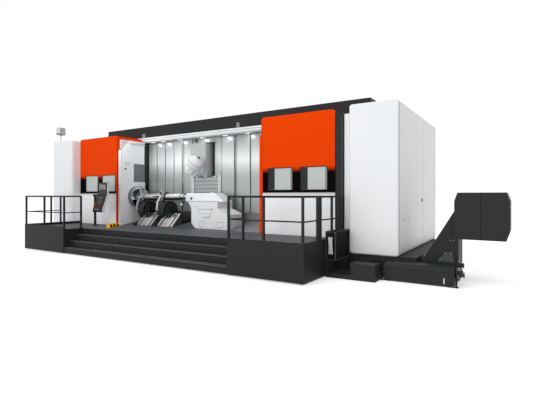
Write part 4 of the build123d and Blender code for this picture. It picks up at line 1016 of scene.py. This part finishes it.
def dress_rest(number, shaft_radius):
    """Everything on one steady rest, placed from its own packed drum and arms."""
    body = f"steady_rest_{number}"
    low = corners(body)[0]
    drum = np.array([low[0] + DRUM_HALF, AXIS_Y, AXIS_Z - REST_DROP])
    cover = drum + DRUM_HALF * X_WAY
    dress_saddle(body, low, drum[0] + SADDLE_LEAD)
    turned(body + "_drum_cover", body, charcoal_enamel, cover, X_WAY, bar_profile(0.020, 0.285, 0.008), 64)
    turned(body + "_drum_hub", body, black_casting, cover + 0.02 * X_WAY, X_WAY,
           [(0, 0.16), (0.03, 0.15), (0.045, 0.11), (0.050, 0.07)], 48)
    bolts(body + "_cover_bolts", body, grey_steel,
          round_spots(cover + 0.018 * X_WAY, 0.225, Y_WAY, Z_WAY, twelfths), X_WAY, 0.013, 0.012)
    rib_r = REST_DRUM_R + 0.007
    for shift in (-0.085, 0.0, 0.085):
        turned(f"{body}_drum_rib_{int(100 + shift * 1000)}", body, graphite_enamel,
               drum + (shift - 0.008) * X_WAY, X_WAY,
               [(0, 0.30), (0.002, rib_r), (0.014, rib_r), (0.016, 0.30)], 96)
    arm_low, arm_high = corners(f"steady_arms_{number}")
    x0, x1, inner = arm_low[0] - 0.012, arm_high[0] + 0.012, shaft_radius + CAGE_GAP
    hoop(body + "_shaft_cage", body, bright_steel, x0, x1, inner, inner + 0.024)
    hoop(body + "_cage_collar", body, grey_steel, x1, x1 + 0.048, inner + 0.002, inner + 0.016)
    pins = np.array([(arm_high[0] - 0.10, AXIS_Y + y, AXIS_Z + z) for y, z in PINS_YZ])
    turned(body + "_arm_pins", body, bright_steel, pins, X_WAY, bar_profile(0.11, 0.024), 24)
    print(body, "drum at x", round(float(drum[0]), 3))


for rest_number, shaft_radius in ((1, 0.140), (2, 0.158)):
    dress_rest(rest_number, shaft_radius)

# %% [markdown]
# The tailstock presses a centre into the shaft's free end. Its housing hides a quill, and
# its body has covers for the feed screw, a raised lever, latches and bolts at the foot.
# A jointed nozzle beside it sprays coolant. Fine dark gaps between white panels are what
# the eye reads at a distance.

# %% Tailstock details
TAIL = face_of("tailstock", "xz", -1)
TAIL_HOUSING = ("xz", -0.500, -1)
TAIL_X = corners("tailstock")[0][0]
FEET_X = (-0.62, -0.35, -0.08, 0.19)
rims("tailstock_panel_gaps", "tailstock", graphite_enamel, TAIL,
     [(-0.702, -0.485, 0.873, 1.062), (0.020, 0.305, 0.874, 1.054), (-0.735, -0.195, 1.300, 1.475)],
     0.007, 0.0015, 0.002)
face_parts("tailstock", [
    ("tailstock_raised_covers", white_enamel, TAIL, 0.020, 0.010,
     [(-0.528, -0.228, 1.205, 1.235), (-0.266, -0.228, 1.215, 1.372),
      (-0.700, -0.230, 1.462, 1.480, 0.012)], 0.005),
    ("tailstock_lever_shadow", graphite_enamel, TAIL, 0.018, 0.005,
     [(-0.528, -0.228, 1.196, 1.205), (-0.700, -0.230, 1.450, 1.462, 0.006)], 0.002),
    ("tailstock_latches", grey_plastic, TAIL, 0.008, 0.002,
     [(-0.163, -0.129, 1.440, 1.500, 0.012), (-0.905, -0.880, 1.535, 1.565),
      (-0.770, -0.745, 1.525, 1.555)], 0.004),
    ("tailstock_housing_seam", graphite_enamel, TAIL_HOUSING, 0.003, 0.002,
     [(-1.485, -0.151, 1.703, 1.712)], 0.001),
    ("tailstock_shelf_edge", light_grey_enamel, TAIL, 0.004, 0.004,
     [(TAIL_X + 0.46, TAIL_X + 1.70, 1.688, 1.698)], 0.002)])
blocks("tailstock_top_bump", "tailstock", white_enamel, [(-0.53, -0.43, -0.46, -0.36, 1.98, 2.012)], 0.008)
turned("tailstock_housing_port", "tailstock", black_rubber, (-1.325, TAIL_HOUSING[1] + 0.002, 1.800),
       -Y_WAY, bar_profile(0.010, 0.042, 0.003), 32)
turned("tailstock_quill_ring", "tailstock", bright_steel, (TAIL_X - 0.016, AXIS_Y, AXIS_Z), X_WAY,
       [(0, 0.075), (0.004, 0.105), (0.018, 0.108)], 48)
bolts("tailstock_foot_bolts", "tailstock", grey_steel, [(x, TAIL[1], 0.846) for x in FEET_X],
      -Y_WAY, 0.012, 0.010)
blocks("coolant_nozzle_block", "tailstock", white_enamel,
       [(-1.860, -1.790, -0.486, -0.414, 1.560, 1.632)], 0.006)
tubes("coolant_nozzle_arm", "tailstock", black_plastic,
      [[(-1.64, -0.40, 1.72), (-1.70, -0.43, 1.69), (-1.76, -0.45, 1.64), (-1.82, -0.45, 1.60)],
       [(-1.85, -0.45, 1.597), (-1.87, -0.45, 1.602), (-1.885, -0.45, 1.615), (-1.90, -0.448, 1.635)]],
      [[0.022, 0.020, 0.020, 0.020], [0.024, 0.022, 0.016, 0.010]])
print("tailstock from x", round(float(TAIL_X), 3))

# %% [markdown]
# The wall behind the chuck is white enamel. It holds a grey inspection window, a small
# key switch panel, a light bar under the roof, a narrow door, and the slot that the way
# covers come out of, drawn as a flat charcoal plate: painted shade of the slot's depth.

# %% Work area wall
WALL = ("yz", -4.400, 1)
# Painted shade: a flat dark plate stands for the shade inside the slot.
outlined("wall_cover_slot", "machine", charcoal_enamel, WALL,
         [(0.106, 2.441), (0.273, 2.265), (0.273, 3.953), (0.106, 3.953)], 0.003, 0.002, 0.001)
face_parts("machine", [
    ("wall_inspection_window", smoked_glass, WALL, 0.004, 0.002, [(-0.405, 0.095, 2.446, 3.121)], 0.002),
    ("wall_light_bar", grey_plastic, WALL, 0.030, 0.002, [(-0.593, 0.130, 3.878, 3.922)], 0.006),
    ("wall_light_glass", lamp_glow, WALL, 0.033, -0.005, [(-0.570, 0.110, 3.884, 3.900)], 0.003),
    ("wall_key_panel", light_grey_enamel, WALL, 0.012, 0.002, [(-0.837, -0.588, 3.073, 3.194)], 0.006)])
rims("wall_window_frame", "machine", grey_plastic, WALL, [(-0.418, 0.106, 2.434, 3.133)], 0.016, 0.008,
     0.002)
rims("wall_door_gap", "machine", light_grey_enamel, WALL, [(-0.840, -0.560, 2.440, 3.080)], 0.010,
     0.0015, 0.001)
turned("wall_key_switch", "machine", black_plastic, (WALL[1] - 0.002, -0.805, 2.915), X_WAY,
       bar_profile(0.030, 0.032), 24)

# %% [markdown]
# The control pendant leans toward the operator: an upright screen over a sloping
# keyboard. The bezel is black, rubber keys stand in rows, two green lamps show that the
# drives are on, and a knob at the lower left corner is orange. Its side shell is pale.

# %% Control pendant
SCREEN = ("xz", -1.765, -1)
BOARD_W = 0.535
KNEE_Z = 1.950
KEY_SHARE = 0.68
KEY_H = 0.008
px1 = corners("control_pendant")[1][0]
px0 = px1 - BOARD_W
lean = on_slope(-1.975, 1.372, math.atan2(0.58, 0.21))
lean_out = lean(Z_WAY) - lean(np.zeros(3))


def key_grid(columns, rows, x0, x1, s0, s1):
    """Spans of a grid of keys: each takes KEY_SHARE of its cell."""
    column, row = np.meshgrid(np.arange(columns), np.arange(rows), indexing="ij")
    cell_x, cell_s = (x1 - x0) / columns, (s1 - s0) / rows
    left = x0 + (column.ravel() + (1 - KEY_SHARE) / 2) * cell_x
    foot = s0 + (row.ravel() + (1 - KEY_SHARE) / 2) * cell_s
    low = np.zeros_like(left)
    return np.stack([left, left + KEY_SHARE * cell_x, foot, foot + KEY_SHARE * cell_s, low,
                     low + KEY_H], -1)


face_parts("control_pendant", [
    ("pendant_screen", screen_glass, SCREEN, 0.004, 0.002,
     [(px0 + 0.075, px1 - 0.040, KNEE_Z + 0.095, 2.340)], 0.002),
    ("pendant_screen_windows", grey_plastic, SCREEN, 0.0055, -0.003,
     [(px0 + 0.11, px0 + 0.19, KNEE_Z + 0.14, 2.315), (px1 - 0.21, px1 - 0.07, KNEE_Z + 0.17, 2.270)],
     0.001),
    ("pendant_screen_picture", pale_skin_plastic, SCREEN, 0.0065, -0.005,
     [(px0 + 0.23, px0 + 0.29, KNEE_Z + 0.20, 2.300), (px0 + 0.36, px0 + 0.40, 2.24, 2.285)], 0.001),
    ("pendant_soft_key_bar", graphite_enamel, SCREEN, 0.010, 0.002,
     [(px0 + 0.03, px1 - 0.03, KNEE_Z + 0.015, KNEE_Z + 0.060)], 0.003)])
rims("pendant_screen_bezel", "control_pendant", black_plastic, SCREEN,
     [(px0 + 0.012, px1 - 0.012, KNEE_Z + 0.070, 2.360)], 0.022, 0.012, 0.002)
blocks("pendant_keys", "control_pendant", brown_keys,
       np.concatenate([key_grid(3, 6, px0 + 0.03, px0 + 0.15, 0.20, 0.56),
                       key_grid(3, 6, px1 - 0.15, px1 - 0.03, 0.20, 0.56),
                       key_grid(7, 2, px0 + 0.05, px1 - 0.10, 0.085, 0.180)]), 0.001, lean)
blocks("pendant_number_pad", "control_pendant", screen_glass,
       [(px0 + 0.17, px1 - 0.17, 0.22, 0.42, -0.002, 0.006)], 0.002, lean)
blocks("pendant_hand_rest", "control_pendant", grey_plastic,
       [(px0 + 0.13, px0 + 0.36, 0.020, 0.052, -0.002, 0.010)], 0.004, lean)
turned("pendant_drive_lamps", "control_pendant", green_glow,
       [lean(np.array([px0 + x, 0.475, 0.0])) for x in (0.215, 0.315)], lean_out,
       bar_profile(0.012, 0.017, 0.003), 20)
turned("pendant_feed_knob", "control_pendant", orange_enamel,
       lean(np.array([px0 + 0.045, 0.145, 0.0])), lean_out, bar_profile(0.035, 0.030, 0.006), 28)
outlined("pendant_side_shell", "control_pendant", light_grey_enamel, ("yz", px1, 1),
         [(-1.968, 1.378), (-1.760, 1.946), (-1.760, 2.362), (-1.692, 2.362), (-1.692, 1.896),
          (-1.900, 1.318), (-1.944, 1.318)], 0.004, 0.001, 0.001)
print("pendant board from x", round(float(px0), 3), "to", round(float(px1), 3))

# %% [markdown]
# The foot switch has three hooded pedals in yellow. Each hood is open toward the
# operator; its mouth is painted dark brown as painted shade inside the yellow hood, and
# a black ribbed tread lies in it.

# %% Foot switch
SWITCH_X, SWITCH_Y, SWITCH_TURN = -3.670, -1.900, math.radians(105)
PEDALS_X = (-0.175, 0.0, 0.175)


def on_switch(points):
    """Turns local x and y about the foot switch's middle."""
    x, y = points[..., 0], points[..., 1]
    return np.stack([SWITCH_X + x * math.cos(SWITCH_TURN) - y * math.sin(SWITCH_TURN),
                     SWITCH_Y + x * math.sin(SWITCH_TURN) + y * math.cos(SWITCH_TURN),
                     points[..., 2]], -1)


for name, finish, half, y0, y1, z0, z1, edge in (
        ("pedal_treads", black_rubber, 0.040, -0.082, -0.030, 0.826, 0.856, 0.004),
        # Painted shade in the mouth of each yellow hood.
        ("pedal_hood_painted_shade", brown_keys, 0.044, -0.068, -0.020, 0.850, 0.905, 0.003)):
    blocks(name, "machine", finish, [(x - half, x + half, y0, y1, z0, z1) for x in PEDALS_X], edge,
           on_switch)

# %% [markdown]
# Steps and decks get worn nosings, pressed with bars so that feet find the edge, whose
# tops are also painted paler as light from above, and each railing post ends in a
# bolted flange. These small parts tell the eye how large the machine is.

# %% Nosings, flanges and sill
DECK_Z = 0.800
NOSING_W = 0.045
PLATFORM_Y = -3.285
STEP_EDGES_YZ = [(-3.275, 0.200), (-3.061, 0.400), (-2.847, 0.600), (-2.633, DECK_Z)]
blocks("step_nosings", "machine", nosing_plate,
       [(-4.345, 2.385, y - 0.002, y + NOSING_W, z - 0.012, z + 0.002) for y, z in STEP_EDGES_YZ], 0.001)
blocks("sill_plate", "machine", nosing_plate, [(-4.39, 1.93, -1.30, -1.112, DECK_Z, DECK_Z + 0.003)],
       0.001)
blocks("riser_seams", "machine", black_rubber,
       [(x - 0.0015, x + 0.0015, y - 0.001, y + 0.004, z - 0.19, z - 0.013)
        for y, z in STEP_EDGES_YZ for x in (-2.10, 0.15)], 0.0)
posts = [(x, PLATFORM_Y + 0.040) for x in (-6.716, -5.5455, -4.375, 2.415, 3.405, 4.395)]
for x, steps in ((-6.716, (0.940, 1.310)), (-4.375, (0.640,)), (2.415, (0.630,)),
                 (4.395, (0.760, 0.915, 1.570, 2.050))):
    posts += [(x, PLATFORM_Y + y) for y in steps]
post_x, post_y = np.array(posts).T
bolt_side = np.where((post_x < -5) | ((post_x > 0) & (post_x < 3)), 0.035, -0.035)
foot_z = np.full(len(posts), DECK_Z)
blocks("railing_flanges", "machine", dark_grey_plate,
       np.stack([post_x - 0.045, post_x + 0.045, post_y - 0.030, post_y + 0.060, foot_z,
                 foot_z + 0.010], -1), 0.002)
bolts("railing_bolts", "machine", grey_steel,
      np.stack([post_x + bolt_side, post_y + 0.042, foot_z + 0.010], -1), Z_WAY, 0.009, 0.008)
print("railing posts", len(posts))

# %% [markdown]
# Sheet housings are made of panels. What shows is a gap a few millimetres wide round
# each, a flush handle, and louvres where air must pass. One function sets the gaps and
# handles on any upright or level face, another one the louvres. On the machine's
# outermost faces they are flush, so that they don't make it larger.

# %% Panel gaps, handles and louvres
GAP_W = 0.007
GAP_PROUD = 0.0015
FLUSH = 0.0004
TRIM_SUNK = 0.002
VENT_BLADES = 8


def panel_gaps(name, face, rows, handles=True, finish=None, flush=False):
    """Gap lines round the panels on a face, and a handle near each one's second side."""
    rims(name + "_gaps", "machine", finish or graphite_enamel, face, rows, GAP_W,
         FLUSH if flush else GAP_PROUD, TRIM_SUNK, 0.015)
    if handles:
        face_blocks(name + "_handles", "machine", black_plastic, face, FLUSH if flush else 0.010,
                    TRIM_SUNK, [(u1 - 0.13, u1 - 0.08, (v0 + v1) / 2 - 0.09, (v0 + v1) / 2 + 0.09)
                                for u0, u1, v0, v1 in rows], 0.0 if flush else 0.004)


def louvres(name, face, u0, u1, v0, v1, flush=False):
    """Blades across a vent, with a rim round them."""
    pitch = (v1 - v0) / VENT_BLADES
    face_blocks(name + "_blades", "machine", graphite_enamel, face, FLUSH if flush else 0.012, TRIM_SUNK,
                [(u0 + 0.02, u1 - 0.02, v + 0.3 * pitch, v + 0.8 * pitch)
                 for v in v0 + pitch * np.arange(VENT_BLADES)], 0.0 if flush else 0.002)
    rims(name + "_rim", "machine", graphite_enamel, face, [(u0, u1, v0 - 0.03, v1 + 0.03)], 0.012,
         FLUSH if flush else 0.006, TRIM_SUNK)


# %% [markdown]
# The beam under the roof carries the door track. A dark groove, a lip and a cover plate
# break its long face. On top, the roof is bolted together from panels.

# %% Header rail and roof
HEADER = ("xz", 0.140, -1)
ROOF_FRONT = ("xz", 0.190, -1)
ROOF_TOP = ("xy", 4.640, 1)
face_parts("machine", [
    ("header_groove", black_rubber, HEADER, 0.0015, 0.003, [(-6.765, 4.235, 4.126, 4.136)], 0.0005),
    ("header_lower_lip", graphite_enamel, HEADER, 0.003, 0.003, [(-6.765, 4.235, 4.002, 4.016)], 0.001),
    ("roof_beam_seams", black_rubber, ROOF_FRONT, 0.0015, 0.003,
     [(x - 0.004, x + 0.004, 4.21, 4.63) for x in (-4.9, -2.8, -0.7, 1.4, 3.2)]),
    ("roof_light_knobs", grey_plastic, ROOF_FRONT, 0.022, 0.003,
     [(0.095, 0.225, 4.215, 4.380), (-4.600, -4.430, 4.215, 4.370)], 0.012)])
outlined("roof_cover_plate", "machine", charcoal_enamel, ROOF_FRONT,
         [(0.281, 4.230), (0.420, 4.386), (0.960, 4.467), (1.088, 4.300), (1.000, 4.230)], 0.012,
         0.003, 0.003)
panel_gaps("roof_top_panels", ROOF_TOP, [(x, x + 1.80, 0.30, 3.14) for x in -6.70 + 1.90 * np.arange(6)],
           False)
turned("roof_lifting_sockets", "machine", black_casting,
       [(x, y, ROOF_TOP[1]) for x in (-6.45, -2.65, 1.15, 4.45) for y in (0.6, 2.8)], Z_WAY,
       [(-0.01, 0.05), (0.004, 0.05), (0.005, 0.02)], 24)

# %% [markdown]
# Pillar and housings: the pillar stands behind the door's edge with a dark shadow gap.
# The tool magazine's housing is white with pressed edges, a key latch and plugs over
# its bolts.

# %% Pillar and magazine housing
PILLAR = face_of("right_pillar", "xz", -1)
HOUSING_SIDE = face_of("magazine_housing", "yz", 1)
SIDE_X = HOUSING_SIDE[1]
pillar_x0, pillar_x1 = (corner[0] for corner in corners("right_pillar"))
face_parts("machine", [
    ("pillar_shadow_gap", black_rubber, PILLAR, 0.0015, 0.020,
     [(pillar_x0 - 0.001, pillar_x0 + 0.010, 0.82, 3.98)]),
    ("pillar_edge_trim", graphite_enamel, PILLAR, 0.003, 0.020,
     [(pillar_x1 - 0.030, pillar_x1 - 0.008, 0.82, 3.90)], 0.001),
    ("housing_side_gap", grey_plastic, HOUSING_SIDE, 0.0015, 0.002, [(-1.302, -1.266, 0.56, 4.07)]),
    ("housing_latch", black_plastic, HOUSING_SIDE, 0.014, 0.002, [(1.135, 1.215, 1.725, 1.825)], 0.006)])
turned("housing_plugs", "machine", grey_plastic,
       [(SIDE_X, y, z) for y, z in ((-0.877, 1.321), (-0.375, 1.311), (2.956, 0.680), (2.905, 2.105))],
       X_WAY, bar_profile(0.006, 0.022, 0.002), 20)
panel_gaps("housing_side_doors", HOUSING_SIDE, [(-1.20, 1.42, 0.56, 4.07), (1.44, 3.20, 0.56, 4.07)],
           False, light_grey_enamel)
panel_gaps("housing_back_doors", face_of("magazine_housing", "xz", 1),
           [(SIDE_X - 1.12, SIDE_X - 0.61, 0.60, 4.00), (SIDE_X - 0.59, SIDE_X - 0.08, 0.60, 4.00)],
           flush=True)
panel_gaps("housing_top_panel", face_of("magazine_housing", "xy", 1),
           [(SIDE_X - 1.10, SIDE_X - 0.10, -1.20, 3.10)], False, light_grey_enamel)

# %% [markdown]
# The back and the left end hold doors to the electrics and the drives. Only service
# staff stand there, so they are the plainest sides: doors, louvres and a base plinth.

# %% Rear, left end and cabinet
BACK = face_of("rear_walls", "xz", 1)
CABINET_SIDE = face_of("left_cabinet", "yz", -1)
REAR_DOORS_X = -6.66 + 1.42 * np.arange(7)
panel_gaps("rear_doors", BACK, [(x, x + 1.38, 0.30, 3.10) for x in REAR_DOORS_X])
panel_gaps("rear_upper_panels", BACK, [(x, x + 1.38, 3.16, 4.48) for x in REAR_DOORS_X], False)
for number, x in enumerate((-5.06, -2.22, 0.62, 3.46)):
    louvres(f"rear_vent_{number + 1}", BACK, x, x + 0.70, 2.20, 2.80)
face_blocks("rear_plinth", "machine", charcoal_enamel, BACK, 0.006, 0.002, [(-6.75, 4.47, 0.0, 0.20)],
            0.002)
panel_gaps("cabinet_side_doors", CABINET_SIDE, [(-1.40, -0.32, 0.25, 3.95), (-0.30, 0.82, 0.25, 3.95)],
           flush=True)
louvres("cabinet_vent", CABINET_SIDE, -0.05, 0.62, 3.10, 3.60, flush=True)
panel_gaps("cabinet_back_panel", face_of("left_cabinet", "xz", 1), [(-8.02, -6.89, 0.25, 3.95)])
cabinet_low, cabinet_high = corners("left_cabinet")
blocks("cabinet_plinth", "machine", charcoal_enamel,
       [(cabinet_low[0] - FLUSH, cabinet_high[0], cabinet_low[1] - 0.004, cabinet_high[1] + 0.004,
         0.0, 0.12)], 0.002)
panel_gaps("headstock_left_doors", face_of("headstock_housing", "yz", -1),
           [(0.98, 2.04, 0.25, 3.80), (2.08, 3.12, 0.25, 3.80)])

# %% [markdown]
# The signal lamp on the cabinet is a flat box on a stem, with lenses on four sides. It
# is unlit here. The two end lenses are pale, and the two side lenses are painted grey
# as shade on the lamp's sides.

# %% Signal lamp
LAMP_HEAD_Z = 4.400
LENS_EDGE = 0.012
LENS_T = 0.003
lamp_low, lamp_high = corners("signal_lamp")
lamp_x, lamp_y = (lamp_low[:2] + lamp_high[:2]) / 2
inset_low, inset_high = lamp_low + LENS_EDGE, lamp_high - LENS_EDGE
lens_z = (LAMP_HEAD_Z + 0.075, inset_high[2])
# Painted shade: the side lenses are grey, the end lenses pale.
blocks("signal_lamp_side_lenses", "machine", shaded_lens_grey,
       [(x - LENS_T, x + LENS_T, inset_low[1], inset_high[1], *lens_z)
        for x in (lamp_low[0], lamp_high[0])], 0.002)
blocks("signal_lamp_end_lenses", "machine", light_grey_enamel,
       [(inset_low[0], inset_high[0], y - LENS_T, y + LENS_T, *lens_z)
        for y in (lamp_low[1], lamp_high[1])], 0.002)
blocks("signal_lamp_base", "machine", grey_plastic,
       [(lamp_low[0] - 0.004, lamp_high[0] + 0.004, lamp_low[1] - 0.004, lamp_high[1] + 0.004,
         LAMP_HEAD_Z - 0.002, LAMP_HEAD_Z + 0.060)], 0.006)
turned("signal_lamp_collars", "machine", grey_plastic,
       [(lamp_x, lamp_y, lamp_low[2]), (lamp_x, lamp_y, LAMP_HEAD_Z - 0.026)], Z_WAY,
       bar_profile(0.024, 0.045, 0.006), 28)
print("signal lamp lenses from", lens_z[0], "to", round(float(lens_z[1]), 3))

# %% [markdown]
# The chip conveyor lifts swarf from the trough to a head over a skip. Its casing is
# dark sheet: a panel with rivets on the incline, a seam down the head, and a drive and
# levelling feet at the trough. Three ribbed hoses stand in the duct beside the deck,
# and a lid closes the coolant tank. A flat black plate on the duct's side is painted
# shade of the recess there.

# %% Conveyor, trough, duct and tank
INCLINE = ("xz", -1.060, -1)
CHUTE = ("xz", -1.230, -1)
TROUGH = ("xz", -1.830, -1)
DUCT = ("xz", -2.180, -1)
DUCT_SIDE = ("yz", 4.683, 1)
RIVETS_XZ = [(6.861, 0.600), (6.985, 0.610), (6.746, 0.470), (6.995, 0.475), (6.950, 0.900),
             (7.020, 0.900)]
face_parts("machine", [
    ("conveyor_head_seam", black_rubber, CHUTE, 0.0015, 0.003, [(7.568, 7.576, 0.97, 1.945)]),
    ("trough_handle", light_grey_enamel, TROUGH, 0.012, 0.002, [(6.935, 6.960, 0.064, 0.185)], 0.004),
    ("trough_lid_seams", black_rubber, TROUGH, 0.0015, 0.003, [(5.70, 7.13, 0.290, 0.297)]),
    # Painted shade: a flat black plate stands for the shade in the duct's side recess.
    ("duct_side_recess", black_rubber, DUCT_SIDE, 0.0035, 0.0, [(-2.14, -1.33, 0.44, 1.03)], 0.001)])
outlined("incline_panel", "machine", graphite_enamel, INCLINE,
         [(6.686, 0.410), (6.857, 0.630), (6.996, 0.640), (7.042, 0.410)], 0.004, 0.002, 0.001)
turned("incline_rivets", "machine", grey_steel, [(x, INCLINE[1] - 0.004, z) for x, z in RIVETS_XZ],
       -Y_WAY, bar_profile(0.006, 0.012, 0.003), 12)
turned("trough_drive_wheels", "machine", black_casting,
       [(7.138, -1.62, 0.285), (7.138, -1.36, 0.20), (7.138, -1.44, 0.42)], X_WAY,
       [(0, 0.10), (0.02, 0.13), (0.05, 0.13), (0.06, 0.05), (0.12, 0.04), (0.13, 0.06),
        (0.145, 0.05)], 28)
bolts("trough_drive_bolts", "machine", grey_steel,
      round_spots((7.188, -1.62, 0.285), 0.09, Y_WAY, Z_WAY, np.linspace(0.4, 5.6, 6)), X_WAY,
      0.012, 0.010)
turned("levelling_feet", "machine", black_casting, [(5.645, -1.78, 0.0), (7.180, -1.78, 0.0)], Z_WAY,
       [(0, 0.045), (0.018, 0.045), (0.026, 0.016), (0.15, 0.016), (0.152, 0.026), (0.175, 0.026)], 20)
rims("duct_edge_strips", "machine", graphite_enamel, DUCT, [(4.440, 4.680, 0.400, 1.064)], 0.014,
     0.005, 0.002, 0.01)
rims("duct_side_strips", "machine", graphite_enamel, DUCT_SIDE, [(-2.172, -1.290, 0.400, 1.064)],
     0.014, 0.007, 0.0, 0.01)
tank_x1 = corners("coolant_tank")[1][0]
panel_gaps("tank_lid", face_of("coolant_tank", "xy", 1), [(5.06, tank_x1 - 0.02, -2.16, -1.87)], False)

# %% [markdown]
# A ribbed hose is a tube whose radius ripples along its length: radius + rib * sin of
# the distance. Sixty steps with a rib every four of them are enough to show the ribs.

# %% Duct hoses
HOSE_STEPS = 60
HOSE_R = 0.016
RIB_H = 0.003
HOSE_FOOT_Z = 0.550
HOSE_LENGTH = 0.387
along = np.linspace(0, 1, HOSE_STEPS + 1)
hose_radius = HOSE_R + RIB_H * np.sin(along * HOSE_STEPS * math.pi / 2)
hose_paths = [np.stack([4.535 + number * 0.036 + 0.008 * np.sin(4 * along + number),
                        np.full(HOSE_STEPS + 1, DUCT[1] - 0.022), HOSE_FOOT_Z + HOSE_LENGTH * along], -1)
              for number in range(3)]
tubes("duct_hoses", "machine", pale_hose, hose_paths, hose_radius, 10)
print("hoses", len(hose_paths), "each", HOSE_LENGTH, "m high")

# %% [markdown]
# The last cell prints how many pieces were made and how many faces they have.

# %% Pieces made
print("pieces", len(made_pieces), "faces", sum(made_pieces.values()))
